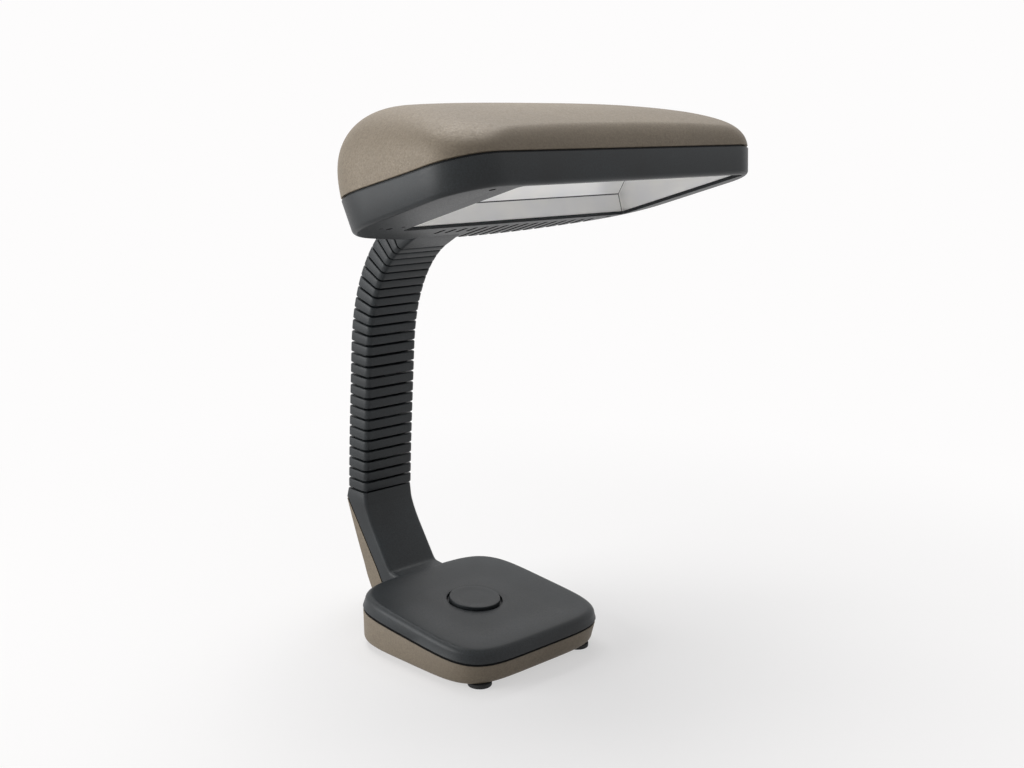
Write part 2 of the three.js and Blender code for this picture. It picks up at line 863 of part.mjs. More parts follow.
// Draws the plan in towards its middle by its own amount on each side; on the left side the
// amount grows from leftFront to leftRear.
function headInset({ leftFront, leftRear, right, front, rear }) {
  return headPlan.map(({ x, y }) => {
    const acrossHalf = x < headMiddle ? headMiddle - headLeft : headRight - headMiddle;
    const alongHalf = headDepthMiddle - headFront;
    const left = leftFront + (leftRear - leftFront) * backShare(y);
    const acrossInset = x < headMiddle ? left : right;
    const alongInset = y < headDepthMiddle ? front : rear;
    return new THREE.Vector2(
      headMiddle + (x - headMiddle) * (1 - acrossInset / acrossHalf),
      headDepthMiddle + (y - headDepthMiddle) * (1 - alongInset / alongHalf),
    );
  });
}

function evenInset(inset) {
  return headInset({ leftFront: inset, leftRear: inset, right: inset, front: inset, rear: inset });
}

function headRings(pairs) {
  return loft(pairs.map(([inset, z]) => level(evenInset(inset), z)));
}

// Height of the roof above the plane of the frame: it rises to the rear and droops at both ends.
function roofHeight(x, y) {
  const rise = (coverPeak - coverFront) * (1 - (1 - backShare(y)) ** roofPower);
  const aside = Math.abs((x - headMiddle) / (headRight - headMiddle));
  return coverFront + rise - coverDroop * aside ** droopPower;
}

// Closed dome over the plan: it rises steeply at the rim and rounds into the sloping roof.
function headDome(wall, low) {
  const rings = [level(evenInset(wall), low)];
  const dome = (inset, rise) => inset.map(({ x, y }) => {
    const roof = roofHeight(x, y) - wall;
    return new THREE.Vector3(x, y, low + (roof - low) * rise);
  });
  const shrunk = (share) => {
    const insets = {};
    for (const side of Object.keys(coverInsets)) insets[side] = wall + coverInsets[side] * share;
    return insets;
  };
  for (let step = 1; step <= coverSteps; step += 1) {
    const angle = (step / coverSteps) * (Math.PI / 2);
    const share = 1 - Math.abs(Math.cos(angle)) ** (2 / coverPower);
    const rise = Math.sin(angle) ** (2 / coverPower);
    rings.push(dome(headInset(shrunk(Math.min(1, share))), rise));
  }
  const rim = headInset(shrunk(1));
  for (const share of crownShares) {
    const inner = rim.map(({ x, y }) => new THREE.Vector2(
      headMiddle + (x - headMiddle) * share,
      headDepthMiddle + (y - headDepthMiddle) * share,
    ));
    rings.push(dome(inner, 1));
  }
  return loft(rings);
}

const coverLow = frameHeight + seamGap;
const plateTop = headWall;

function headCover() {
  let cover = headDome(0, coverLow).subtract(headDome(headWall, coverLow - seatGap));
  const inside = headDome(headWall / 2, coverLow - overrun);
  for (const [x, y] of headScrews) {
    const pilot = screwRadius + seatGap;
    const reach = coverPeak + overrun;
    const column = cylinderZ(pilot + bossWall, plateTop + seatGap, reach, [x, y], smallSteps);
    const under = box(
      [headRight - headLeft, headRight - headLeft, coverLow],
      [headMiddle, headDepthMiddle, coverLow / 2],
    );
    const post = column.intersect(inside.add(under));
    const bore = cylinderZ(pilot, 0, plateTop + screwThread + overrun, [x, y], smallSteps);
    cover = cover.add(post).subtract(bore);
  }
  return cover;
}

function openingOutline(margin) {
  const width = openingRight - openingLeft + 2 * margin;
  const depth = openingRear - openingFront + 2 * margin;
  const middleX = (openingLeft + openingRight) / 2;
  const middleY = (openingFront + openingRear) / 2;
  return roundedRectangle(width, depth, openingRadius + margin, 3).map(
    (point) => new THREE.Vector2(point.x + middleX, point.y + middleY),
  );
}

// Places the top groove of the neck in the head's own frame.
function collarPlace() {
  const top = stations[ribCount];
  const [x, y, z] = headOrigin;
  const place = new THREE.Matrix4().makeRotationX(top.lean);
  place.setPosition(0, top.y, top.z);
  const head = new THREE.Matrix4().makeRotationX(-headTilt * degrees);
  head.setPosition(x, y, z);
  return head.invert().multiply(place);
}

function collar() {
  const low = grooveWidth / 2;
  const sleeve = loft([
    neckRing(low, 0, ribEdge),
    neckRing(low + ribEdge, 0, 0),
    neckRing(collarLength, 0, 0),
  ]);
  const joined = sleeve.add(knuckle(ribCount, 0, 0));
  const placed = geometryFrom(joined).applyMatrix4(collarPlace());
  const far = headRight - headLeft;
  const below = box([far, far, far], [headMiddle, headDepthMiddle, frameHeight - far / 2]);
  return solidFrom(placed).intersect(below);
}

function headFrame() {
  const low = frameDraft + frameEdge;
  const skin = headRings([
    [low, 0],
    [frameDraft, frameEdgeHeight * chamferStartShare],
    [frameDraft * (1 - frameEdgeHeight / frameHeight), frameEdgeHeight],
    [0, frameHeight],
  ]);
  const hollow = headRings([
    [frameDraft + headWall, headWall],
    [headWall, frameHeight + overrun],
  ]);
  const lipOutside = headWall + seatGap;
  const lipLow = frameHeight - frameEdgeHeight;
  const lipTop = frameHeight + frameLipHeight;
  const lip = headRings([
    [lipOutside, lipLow],
    [lipOutside, lipTop],
  ]).subtract(headRings([
    [lipOutside + frameLip, lipLow - overrun],
    [lipOutside + frameLip, lipTop + overrun],
  ]));
  let frame = skin.add(collar()).subtract(hollow).add(lip);
  const margin = frameDraft + headWall + reflectorMargin;
  const opening = prism(openingOutline(0), -overrun, frameHeight - frameEdgeHeight);
  frame = frame.subtract(opening.intersect(prism(evenInset(margin), -2 * overrun, frameHeight)));
  for (let index = 0; index < slotCount; index += 1) {
    const x = slotFirst + index * slotPitch;
    const start = openingRear + slotSetback;
    const nearCollar = Math.abs(x) < neckWidth / 2 + slotWidth;
    const end = nearCollar ? openingRear + slotSetback + collarKeepOut : 0;
    const slot = box(
      [slotWidth, end - start, slotWrap + overrun],
      [x, (start + end) / 2, (slotWrap - overrun) / 2],
    );
    frame = frame.subtract(slot);
  }
  const [, [rearScrewX, rearScrewY]] = headScrews;
  for (const aside of [-ventHoleAside, ventHoleAside]) {
    const place = [rearScrewX + aside, rearScrewY - ventHoleAhead];
    frame = frame.subtract(cylinderZ(ventHoleRadius, -overrun, plateTop + overrun, place, smallSteps));
  }
  for (const place of headScrews) {
    const reach = plateTop + overrun;
    const recess = screwHeadHeight / 2;
    const shank = cylinderZ(screwRadius + seatGap, -overrun, reach, place, smallSteps);
    const sink = cylinderZ(screwHeadRadius + seatGap, -overrun, recess, place, smallSteps);
    frame = frame.subtract(shank).subtract(sink);
  }
  return frame;
}

// Cross-section of the folded sheet, front skirt to rear skirt, at a distance inside its outer face.
function reflectorProfile(inside) {
  const low = plateTop + seatGap;
  const front = openingFront - reflectorMargin + inside;
  const rear = openingRear + reflectorMargin - inside;
  const [run, top] = reflectorFold;
  const end = inside > 0 ? low - overrun : low;
  return [
    [front, end],
    [front, low + reflectorSkirt - inside / 2],
    [front + run, top - inside],
    [(front + rear) / 2, top + reflectorRoofRise - inside],
    [rear - run, top - inside],
    [rear, low + reflectorSkirt - inside / 2],
    [rear, end],
  ].reverse();
}

function reflector() {
  const width = openingRight - openingLeft + 2 * reflectorMargin;
  const middle = (openingLeft + openingRight) / 2;
  const place = (solid) => solid.translate([middle, 0, 0]);
  const within = frameDraft + headWall + seatGap;
  const outer = place(acrossX(reflectorProfile(0), width)).intersect(
    prism(evenInset(within), 0, coverPeak),
  );
  const inner = place(acrossX(reflectorProfile(sheet), width - 2 * sheet)).intersect(
    prism(evenInset(within + sheet), 0, coverPeak),
  );
  const pass = box(
    [4 * reflectorMargin, lampPassWidth, lampPassHeight],
    [openingLeft - reflectorMargin, lampY, lampZ],
  );
  return outer.subtract(inner).subtract(pass);
}

function lampHolder() {
  const [length, depth, height] = holderSize;
  const face = lampCapEnd - lampCapLength - seatGap;
  const low = plateTop + seatGap;
  const body = standingBox(holderSize, [face - length / 2, lampY, low]);
  const recess = box(
    [2 * holderRecess, lampNoseDepth + 2 * seatGap, lampNoseHeight + 2 * seatGap],
    [face, lampY, lampZ],
  );
  const shoulders = standingBox(
    [length / 2, depth + overrun, height],
    [face - length, lampY, low + height * holderShoulderShare],
  );
  return body.subtract(recess).subtract(shoulders);
}

function lampCap() {
  const start = lampCapEnd - lampCapLength;
  const size = [lampCapLength, lampCapDepth, lampCapHeight];
  const cap = box(size, [start + lampCapLength / 2, lampY, lampZ]);
  const plug = box(
    [lampNoseLength + overrun, lampNoseDepth, lampNoseHeight],
    [start - (lampNoseLength - overrun) / 2, lampY, lampZ],
  );
  return cap.add(plug);
}

function lampTube() {
  const start = lampCapEnd + seatGap;
  const length = lampEnd - start;
  const middle = (start + lampEnd) / 2;
  let tube = null;
  for (const side of [-1, 1]) {
    const leg = cylinderX(tubeRadius, length, [middle, lampY + (side * tubeSpacing) / 2, lampZ]);
    tube = tube ? tube.add(leg) : leg;
  }
  return tube.add(cylinderY(bridgeRadius, tubeSpacing, [lampEnd - bridgeInset, lampY, lampZ], smallSteps));
}

// Spring saddle that hangs from the reflector's roof and steadies the far end of the lamp.
function lampClip() {
  const [, roof] = reflectorFold;
  const width = tubeSpacing + 2 * tubeRadius + 2 * (clipWall + seatGap);
  const top = roof - sheet - seatGap - reflectorRoofRise / 2;
  const height = top - lampZ;
  const saddle = box([clipLength, width, height], [clipX, lampY, top - height / 2]);
  let clip = saddle;
  for (const side of [-1, 1]) {
    const place = [clipX, lampY + (side * tubeSpacing) / 2, lampZ];
    clip = clip.subtract(cylinderX(tubeRadius + seatGap, clipLength + 2 * overrun, place));
  }
  return clip;
}

function addHead(parent) {
  addMesh(parent, 'head_frame', headFrame(), charcoal);
  addMesh(parent, 'head_cover', headCover(), bronze);
  addMesh(parent, 'reflector', reflector(), bright);
  addMesh(parent, 'lampholder', lampHolder(), whitePlastic);
  addMesh(parent, 'lamp_cap', lampCap(), whitePlastic);
  addMesh(parent, 'lamp_tube', lampTube(), glass);
  addMesh(parent, 'lamp_clip', lampClip(), steel);
  const terminalX = headLeft + headTerminalAside;
  const terminal = addMesh(parent, 'head_terminal_block', terminalBlock(headTerminalSize), whitePlastic);
  terminal.position.set(terminalX, lampY + headTerminalBehind, plateTop + seatGap);
  headScrews.forEach(([x, y], index) => {
    const made = addMesh(parent, `head_screw_${index + 1}`, screw(screwThread), steel);
    made.position.set(x, y, screwHeadHeight / 2 - seatGap);
  });
}

const lamp = new THREE.Group();
addBase(meshes);
addNeck(meshes);
const head = new THREE.Group();
head.position.set(...headOrigin);
head.rotation.x = -headTilt * degrees;
addHead(head);
meshes.add(head);
meshes.rotation.x = baseSlope * degrees;
lamp.add(meshes);

// The group's origin is the middle of the lowest plane of its bounding box.
lamp.updateMatrixWorld(true);
const bounds = new THREE.Box3().setFromObject(lamp, true);
const middle = bounds.getCenter(new THREE.Vector3());
meshes.position.set(-middle.x, -middle.y, -bounds.min.z);

export default lamp;
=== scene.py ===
# %% [markdown]
# # A desk lamp with a ribbed flexible neck
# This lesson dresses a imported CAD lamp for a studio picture. The lamp has a square base with a round
# push button, a stem that is drawn up out of the base, a neck of twenty-six hinged ribs, and a wide
# head that holds a twin-tube lamp behind a bright folded reflector. Everything that is built here is
# in metres, in the same place.

# %% Load the frame
import math

import bmesh
import bpy
import numpy as np
from mathutils import Matrix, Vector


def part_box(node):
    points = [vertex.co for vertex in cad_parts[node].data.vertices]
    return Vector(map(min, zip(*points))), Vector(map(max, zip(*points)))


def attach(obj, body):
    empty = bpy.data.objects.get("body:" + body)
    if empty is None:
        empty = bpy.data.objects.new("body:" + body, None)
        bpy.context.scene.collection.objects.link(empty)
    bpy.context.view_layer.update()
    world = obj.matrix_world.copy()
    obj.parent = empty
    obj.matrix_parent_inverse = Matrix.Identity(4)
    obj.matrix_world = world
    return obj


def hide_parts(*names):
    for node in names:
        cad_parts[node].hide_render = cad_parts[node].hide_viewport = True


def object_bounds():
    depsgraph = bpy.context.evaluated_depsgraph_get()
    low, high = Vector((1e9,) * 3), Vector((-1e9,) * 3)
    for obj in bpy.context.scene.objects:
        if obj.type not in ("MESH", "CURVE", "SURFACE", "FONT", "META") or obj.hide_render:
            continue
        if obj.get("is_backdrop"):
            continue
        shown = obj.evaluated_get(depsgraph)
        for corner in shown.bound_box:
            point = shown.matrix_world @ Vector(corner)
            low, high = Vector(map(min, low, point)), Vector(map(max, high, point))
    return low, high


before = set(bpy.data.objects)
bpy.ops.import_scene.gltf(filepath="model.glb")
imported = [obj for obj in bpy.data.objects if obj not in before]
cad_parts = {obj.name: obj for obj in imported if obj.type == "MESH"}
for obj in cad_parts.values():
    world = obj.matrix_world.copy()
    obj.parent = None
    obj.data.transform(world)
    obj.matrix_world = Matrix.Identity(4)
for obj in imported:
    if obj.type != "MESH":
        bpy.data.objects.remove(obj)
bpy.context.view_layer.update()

# %% [markdown]
# ## Camera
# The camera stands in front of the lamp and to its left, a little below the top of the head, and
# looks slightly down. Its place was found by fitting the base, the neck and the head to the picture.

# %% Set the camera
CAMERA_AT = np.array([-0.7107, -0.7305, 0.4119])
CAMERA_RIGHT = np.array([0.7144, -0.6997, 0.0043])
CAMERA_UP = np.array([0.1390, 0.1479, 0.9792])
FILM_MM, LENS_MM = 36.0, 46.68


def unit(vector):
    """The vector divided by its length."""
    return vector / np.linalg.norm(vector)


def show(name, data):
    """A new object of the scene."""
    made = bpy.data.objects.new(name, data)
    bpy.context.scene.collection.objects.link(made)
    return made


def stand(made, at, right, back):
    """Moves an object to a place and turns its X to the right and its Z backwards; its Y is Z x X."""
    turn = np.eye(4)
    turn[:3] = np.column_stack([right, np.cross(back, right), back, at])
    made.matrix_world = Matrix(turn.tolist())


right = unit(CAMERA_RIGHT)
back = unit(np.cross(right, CAMERA_UP))
camera = show("camera", bpy.data.cameras.new("camera"))
stand(camera, CAMERA_AT, right, back)
camera.data.sensor_width, camera.data.lens = FILM_MM, LENS_MM
bpy.context.scene.camera = camera
bpy.context.scene.view_settings.view_transform = "Standard"
print("camera pitch:", round(math.degrees(math.asin(-back[2])), 2), "degrees")

# %% [markdown]
# ## Helpers for materials
# Colours are written as sRGB hex values, the way a paint card gives them, and turned to linear light
# in one place. One small function adds any node, sets it and links it. The ones after it name the few
# kinds of node that every material here needs, and give the socket that the next node reads.

# %% Colours and nodes
MM = 0.001


def linear(text):
    """sRGB hex to linear RGBA: a channel is ((c + 0.055) / 1.055) ** 2.4, or c / 12.92 near black."""
    srgb = np.array([int(text[i : i + 2], 16) for i in (1, 3, 5)]) / 255
    bright = ((srgb + 0.055) / 1.055) ** 2.4
    return (*np.where(srgb <= 0.04045, srgb / 12.92, bright).tolist(), 1.0)


def fill(tree, node, inputs):
    """Sets a node's inputs: a socket is linked to its input, and any other value is written on it."""
    for name, value in inputs.items():
        if isinstance(value, bpy.types.NodeSocket):
            tree.links.new(value, node.inputs[name])
        else:
            node.inputs[name].default_value = value
    return node


def add(tree, kind, inputs=None, **settings):
    """Adds a node. Settings are its properties; inputs are values, or sockets that are linked to it."""
    made = tree.nodes.new(kind)
    for name, value in settings.items():
        setattr(made, name, value)
    return fill(tree, made, inputs or {})


def new_material(name):
    """An empty material: its tree, its principled shader, and its object coordinates in metres."""
    material = bpy.data.materials.new(name)
    material.use_nodes = True
    tree = material.node_tree
    return material, tree, tree.nodes["Principled BSDF"], add(tree, "ShaderNodeTexCoord").outputs["Object"]


print("mid grey in linear light:", [round(v, 3) for v in linear("#808080")[:3]])

# %% Patterns


def calculate(tree, operation, *values):
    """The result of one sum on values or sockets."""
    return add(tree, "ShaderNodeMath", dict(enumerate(values)), operation=operation).outputs["Value"]


def noise(tree, place, size_mm, detail=2.0):
    """Soft clouds of one size in millimetres."""
    inputs = {"Vector": place, "Scale": 1 / (size_mm * MM), "Detail": detail}
    return add(tree, "ShaderNodeTexNoise", inputs).outputs["Fac"]


def patches(tree, place, size_mm):
    """Two random values that stay the same all over each patch of a Voronoi pattern."""
    cells = add(tree, "ShaderNodeTexVoronoi", {"Vector": place, "Scale": 1 / (size_mm * MM)})
    parts = add(tree, "ShaderNodeSeparateColor", {"Color": cells.outputs["Color"]})
    return parts.outputs["Red"], parts.outputs["Green"]


def spread(tree, value, to, start=(0.0, 1.0), **settings):
    """A value carried over from its start range to another one."""
    limits = {"From Min": start[0], "From Max": start[1], "To Min": to[0], "To Max": to[1]}
    return add(tree, "ShaderNodeMapRange", {"Value": value, **limits}, **settings).outputs["Result"]


def ramp(tree, value, dark, light, ends=(0.0, 1.0)):
    """A tint between two colours, as the value runs from one end to the other."""
    made = add(tree, "ShaderNodeValToRGB", {"Fac": value})
    for element, position, colour in zip(made.color_ramp.elements, ends, (dark, light)):
        element.position, element.color = position, linear(colour)
    return made.outputs["Color"]


def bumped(tree, height, strength, depth_mm):
    """A bump that rises by this depth as the pattern rises from 0 to 1."""
    inputs = {"Height": height, "Strength": strength, "Distance": depth_mm * MM}
    return add(tree, "ShaderNodeBump", inputs).outputs["Normal"]


print("a pattern of 2 mm has a scale of", 1 / (2 * MM), "per metre")

# %% [markdown]
# ## The two main finishes
# The dark parts are ABS, injection moulded in a steel mould with a spark-eroded grain. The grain
# spreads the highlight, so the plastic looks soft and dry. The taupe parts are ABS too, sprayed with
# a metallic paint: tiny flakes sparkle a little, and the paint levels into a faint orange peel.
# The real grain is about 0.1 mm across, too fine to show, so both are drawn about ten times coarser.

# %% Grained charcoal ABS
CLOUD_MM, GLOSS_RANGE, PLASTIC_IOR = 60.0, 0.07, 1.53
NOISE_RANGE = (0.3, 0.7)


def grained_plastic(name, dark, light, roughness, grain_mm=1.1, depth_mm=0.05, specular=0.5):
    """Moulded plastic: a cloudy tint, a bump of fine grain, and gloss that varies with the grain."""
    material, tree, shader, place = new_material(name)
    speck = noise(tree, place, grain_mm)
    blend = calculate(tree, "MULTIPLY", noise(tree, place, CLOUD_MM, 3.0), speck)
    fill(tree, shader, {
        "Base Color": ramp(tree, blend, dark, light, (0.15, 0.42)),
        "Roughness": spread(tree, speck, (roughness - GLOSS_RANGE, roughness + GLOSS_RANGE), NOISE_RANGE),
        "Normal": bumped(tree, speck, 0.35, depth_mm),
        "IOR": PLASTIC_IOR,
        "Specular IOR Level": specular,
    })
    return material


charcoal = grained_plastic("abs_charcoal_spark_grain", "#181b1d", "#292e31", 0.45, specular=0.3)
print("made", charcoal.name)

# %% Taupe metallic paint
FLAKE_MM, PEEL_MM, DRIFT_MM = 1.0, 3.0, 90.0

taupe, tree, shader, place = new_material("abs_taupe_metallic_paint")
shade, sparkle = patches(tree, place, FLAKE_MM)
weight = calculate(tree, "MULTIPLY", spread(tree, shade, (0.25, 0.75)), noise(tree, place, DRIFT_MM))
fill(tree, shader, {
    "Base Color": ramp(tree, weight, "#6e6456", "#807565", (0.08, 0.45)),
    "Roughness": spread(tree, sparkle, (0.5, 0.66)),
    "Normal": bumped(tree, noise(tree, place, PEEL_MM, 1.0), 0.15, 0.03),
    "Metallic": 0.25,
})
print("made", taupe.name)

# %% [markdown]
# ## Metals, rubber and the small plastics
# The reflector is anodised aluminium sheet: rolled, so its fine lines run along the head, and then
# etched to a satin. Screws and the weight are zinc-plated steel; the head's screws and the block at
# the top of the stem are blackened. The feet and the gland are moulded rubber. The lamp is a glass
# tube coated white inside with phosphor, in a cap of white polyester. Deep gaps get a dull near-black
# that is painted shade.

# %% Anodised reflector sheet
ROLL_LINE_MM, HAZE_MM, ALONG_THE_HEAD = 0.8, 35.0, (0.02, 1.0, 1.0)

bright_sheet, tree, shader, place = new_material("anodised_aluminium_satin_sheet")
rolled = add(tree, "ShaderNodeMapping", {"Vector": place, "Scale": ALONG_THE_HEAD})
lines = noise(tree, rolled.outputs["Vector"], ROLL_LINE_MM)
fill(tree, shader, {
    "Base Color": ramp(tree, noise(tree, place, HAZE_MM), "#f3f3f4", "#fbfaf7", (0.35, 0.65)),
    "Roughness": spread(tree, lines, (0.4, 0.46), NOISE_RANGE),
    "Normal": bumped(tree, lines, 0.05, 0.02),
    "Metallic": 0.5,
})
print("made", bright_sheet.name)

# %% Plated steel, rubber and polyester


def plated_steel(name, dark, light, roughness, patch_mm):
    """Plated metal: a patchwork of crystals, whose tint and gloss change from patch to patch."""
    material, tree, shader, place = new_material(name)
    shade, gloss = patches(tree, place, patch_mm)
    fill(tree, shader, {
        "Base Color": ramp(tree, shade, dark, light),
        "Roughness": spread(tree, gloss, (roughness - 0.06, roughness + 0.06)),
        "Metallic": 1.0,
    })
    return material


zinc = plated_steel("zinc_plated_steel", "#8d9093", "#b1b4b6", 0.38, 1.5)
black_steel = plated_steel("black_oxide_steel", "#17181a", "#242528", 0.5, 1.5)
spring_steel = plated_steel("nickel_plated_spring_steel", "#b0aca4", "#cfccc5", 0.22, 4.0)
# Near-black painted shade for the inside of the base's seam and the walls of the head's slots and holes.
shadow_gap = grained_plastic("painted_shade_in_seams_and_holes", "#060607", "#0b0b0c", 0.9)
rubber = grained_plastic("moulded_rubber_black", "#171718", "#242425", 0.82, 0.8, 0.08)
polyester = grained_plastic("moulded_polyester_white", "#d4d1ca", "#eae8e2", 0.42, 2.0, 0.02)
print("made", [m.name for m in (zinc, black_steel, spring_steel, shadow_gap, rubber, polyester)])

# %% Circuit board, laminations and phosphor glass
TRACK_MM, LEAF_MM, DUST_MM = 5.0, 3.2, 12.0

board, tree, shader, place = new_material("glass_epoxy_board_green")
tracks = add(tree, "ShaderNodeTexBrick", {
    "Vector": place, "Scale": 1 / (TRACK_MM * MM), "Mortar Size": 0.12,
    "Color1": linear("#2c6240"), "Color2": linear("#336b47"), "Mortar": linear("#4c8a5e"),
})
relief = bumped(tree, tracks.outputs["Fac"], 0.3, 0.04)
fill(tree, shader, {"Base Color": tracks.outputs["Color"], "Normal": relief, "Roughness": 0.32})

laminations, tree, shader, place = new_material("varnished_iron_laminations")
stack = {"Vector": place, "Scale": 1 / (LEAF_MM * MM), "Distortion": 0.4}
leaves = add(tree, "ShaderNodeTexWave", stack, bands_direction="X").outputs["Fac"]
tint = ramp(tree, leaves, "#2b2623", "#5b524b")
fill(tree, shader, {"Base Color": tint, "Metallic": 0.6, "Roughness": 0.45})

phosphor, tree, shader, place = new_material("phosphor_coated_glass")
tint = ramp(tree, noise(tree, place, DUST_MM), "#e9eae8", "#f6f7f5")
fill(tree, shader, {"Base Color": tint, "Roughness": 0.35, "Coat Weight": 1.0, "Coat Roughness": 0.05})
print("made", board.name, laminations.name, phosphor.name)

# %% [markdown]
# ## Helpers for surfaces
# Every new piece is a set of closed blocks. A block is a grid of points: each row is a ring that runs
# anticlockwise seen from the end of the rows, so the faces between two rows point outwards. The base
# was drawn square to its own sloping top, so one function turns such a drawing down to the table.

# %% Places and rings
SLOPE = math.radians(5.5)
SHIFT_MM = np.array([-41.0, -4.3017, 6.0862])
SEAM, SEAM_REACH, SEAM_FALL = 19.0, 10.0, 0.016


def turned_x(points, angle):
    """Points turned about X: y' = y cos a - z sin a, and z' = y sin a + z cos a."""
    points = np.asarray(points, float)
    y, z = points[..., 1], points[..., 2]
    c, s = math.cos(angle), math.sin(angle)
    return np.stack([points[..., 0], y * c - z * s, y * s + z * c], -1)


def placed(points):
    """Points of the drawing, in millimetres and square to the top of the base, in the frame's metres.

    Near the base's seam the drawing sinks towards the rear: z' = z - fall y w, where w is 1 at the seam
    and falls evenly to 0 at the reach above and below it.
    """
    points = np.array(points, float)
    near = np.clip(1 - np.abs(points[..., 2] - SEAM) / SEAM_REACH, 0, 1)
    points[..., 2] -= SEAM_FALL * points[..., 1] * near
    return (turned_x(points, SLOPE) + SHIFT_MM) * MM


def level(plan, z):
    """A ring over a plan outline of x and y, at one height, or at one height for each point."""
    return np.column_stack([plan, np.broadcast_to(z, len(plan))])


def circle(radius, steps, middle=(0.0, 0.0)):
    """Points at even angles: middle + radius (cos a, sin a)."""
    angle = np.linspace(0, 2 * np.pi, steps, endpoint=False)
    return np.column_stack([middle[0] + radius * np.cos(angle), middle[1] + radius * np.sin(angle)])


def rounded_rectangle(width, depth, radius, corner_steps=8):
    """Four corner arcs in turn, anticlockwise; the straight sides lie between them."""
    a = np.linspace(0, np.pi / 2, corner_steps)
    middles = np.array([[1, 1], [-1, 1], [-1, -1], [1, -1]]) * [width / 2 - radius, depth / 2 - radius]
    turns = np.arange(4) * np.pi / 2
    arcs = [m + radius * np.column_stack([np.cos(a + q), np.sin(a + q)]) for m, q in zip(middles, turns)]
    return np.vstack(arcs)


def quadratic(start, pull, end, count):
    """Quadratic curve: (1 - t)^2 start + 2 t (1 - t) pull + t^2 end, without its last point."""
    t = np.linspace(0, 1, count, endpoint=False)[:, None]
    return np.array(start) * (1 - t) ** 2 + 2 * np.array(pull) * t * (1 - t) + np.array(end) * t**2


def tube_section(plan, low, high):
    """A straight block between two heights over one plan outline."""
    return np.stack([level(plan, low), level(plan, high)])


def lathe(profile, steps):
    """A turned block: each (radius, height) pair is one ring. The profile starts and ends near the axis."""
    x, y = circle(1.0, steps).T
    profile = np.asarray(profile, float)
    radius, height = profile[:, :1], profile[:, 1:]
    return np.stack([radius * x, radius * y, height + 0 * x], -1)


def roll(radius, steps):
    """A quarter-round edge: pairs r (1 - sin a), r (1 - cos a), so from (r, 0) to (0, r)."""
    a = np.linspace(0, np.pi / 2, steps)
    return list(zip(radius * (1 - np.sin(a)), radius * (1 - np.cos(a))))


def ease(share):
    """A soft climb from 0 to 1: (1 - cos(pi s)) / 2."""
    return (1 - np.cos(np.pi * share)) / 2


print("the drawing's origin lies at", placed([0, 0, 0]).round(4), "m")

# %% Blocks and pieces
SMOOTH_ANGLE = 32


def block(grid, loop=False):
    """Points and faces of a grid of rings. Its ends get flat faces, or join each other in a loop."""
    rows, columns = grid.shape[:2]
    row = np.arange(rows if loop else rows - 1)[:, None] * columns
    above = (row + columns) % (rows * columns)
    column = np.arange(columns)[None, :]
    beside = (column + 1) % columns
    quads = np.stack([row + column, row + beside, above + beside, above + column], -1).reshape(-1, 4)
    faces = quads.tolist()
    if not loop:
        faces.append(np.arange(columns)[::-1].tolist())
        faces.append(np.arange((rows - 1) * columns, rows * columns).tolist())
    return grid.reshape(-1, 3), faces


def make_mesh(name, blocks):
    """One mesh of several blocks; the face numbers of each block are counted on from the last."""
    points, faces, start = [], [], 0
    for block_points, block_faces in blocks:
        points.append(block_points)
        faces += [[corner + start for corner in face] for face in block_faces]
        start += len(block_points)
    mesh = bpy.data.meshes.new(name)
    mesh.from_pydata(np.concatenate(points).tolist(), [], faces)
    mesh.update()
    return mesh


def smooth(mesh, angle=SMOOTH_ANGLE):
    """Smooth shading, with a crease wherever two faces meet more sharply than the angle in degrees."""
    mesh.shade_smooth()
    mesh.set_sharp_from_angle(angle=math.radians(angle))


def dress(piece, body, node):
    """Lets a piece ride on its body and stand for its CAD node."""
    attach(piece, body)
    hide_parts(node)
    return piece


def make_piece(name, blocks, material, body, node, angle=SMOOTH_ANGLE):
    """A new piece of closed blocks, dressed."""
    mesh = make_mesh(name, blocks)
    smooth(mesh, angle)
    mesh.materials.append(material)
    return dress(show(name, mesh), body, node)


def keep_result(piece, angle=SMOOTH_ANGLE):
    """Makes the shape that the piece's modifiers give its own mesh."""
    shown = piece.evaluated_get(bpy.context.evaluated_depsgraph_get())
    mesh = bpy.data.meshes.new_from_object(shown)
    piece.modifiers.clear()
    piece.data = mesh
    smooth(mesh, angle)


def carve(piece, blocks, finish=None):
    """Cuts the blocks out of the piece with one Boolean; a finish is given to the faces of the cut."""
    cutter = show("cutter", make_mesh("cutter", blocks))
    if finish:
        cutter.data.materials.append(finish)
    cut = piece.modifiers.new("cut", "BOOLEAN")
    cut.operation, cut.solver, cut.object = "DIFFERENCE", "EXACT", cutter
    cut.material_mode = "TRANSFER"
    keep_result(piece)
    bpy.data.objects.remove(cutter)


print("a block over four points has", len(block(tube_section(circle(1, 4), 0, 1))[1]), "faces")

# %% [markdown]
# ## The base
# Seen from above the base is a square with bowed sides and round corners: a superellipse that is a
# little rounder at the rear. The top shell's wall leans in slightly, rolls over a soft rim and sinks
# into a shallow dish round the button's hole. As one surface it is a stack of such outlines, the last
# of which turn into circles. The pan below it is a wedge: its underside is level with the table, while
# its seam follows the top and sinks a little towards the rear.

# %% Outlines of the base
BASE_WIDTH, BASE_DEPTH, BASE_FORWARD, BASE_ASIDE = 150.6, 148.0, 5.0, 0.8
FRONT_ROUNDNESS, REAR_ROUNDNESS = 4.9, 4.6
BASE_TOP, BASE_SEAM_GAP, SEAM_GAP, SEAT_GAP = 31.4, 2.1, 1.6, 0.3
BASE_WALL, SIDE_LEAN, RIM_ROUND = 2.5, 1.2, 5.0
FOOT_HEIGHT, FRONT_FOOT_Y, FITTINGS_Y = 3.2, -63.5, -6.5
AROUND = 288


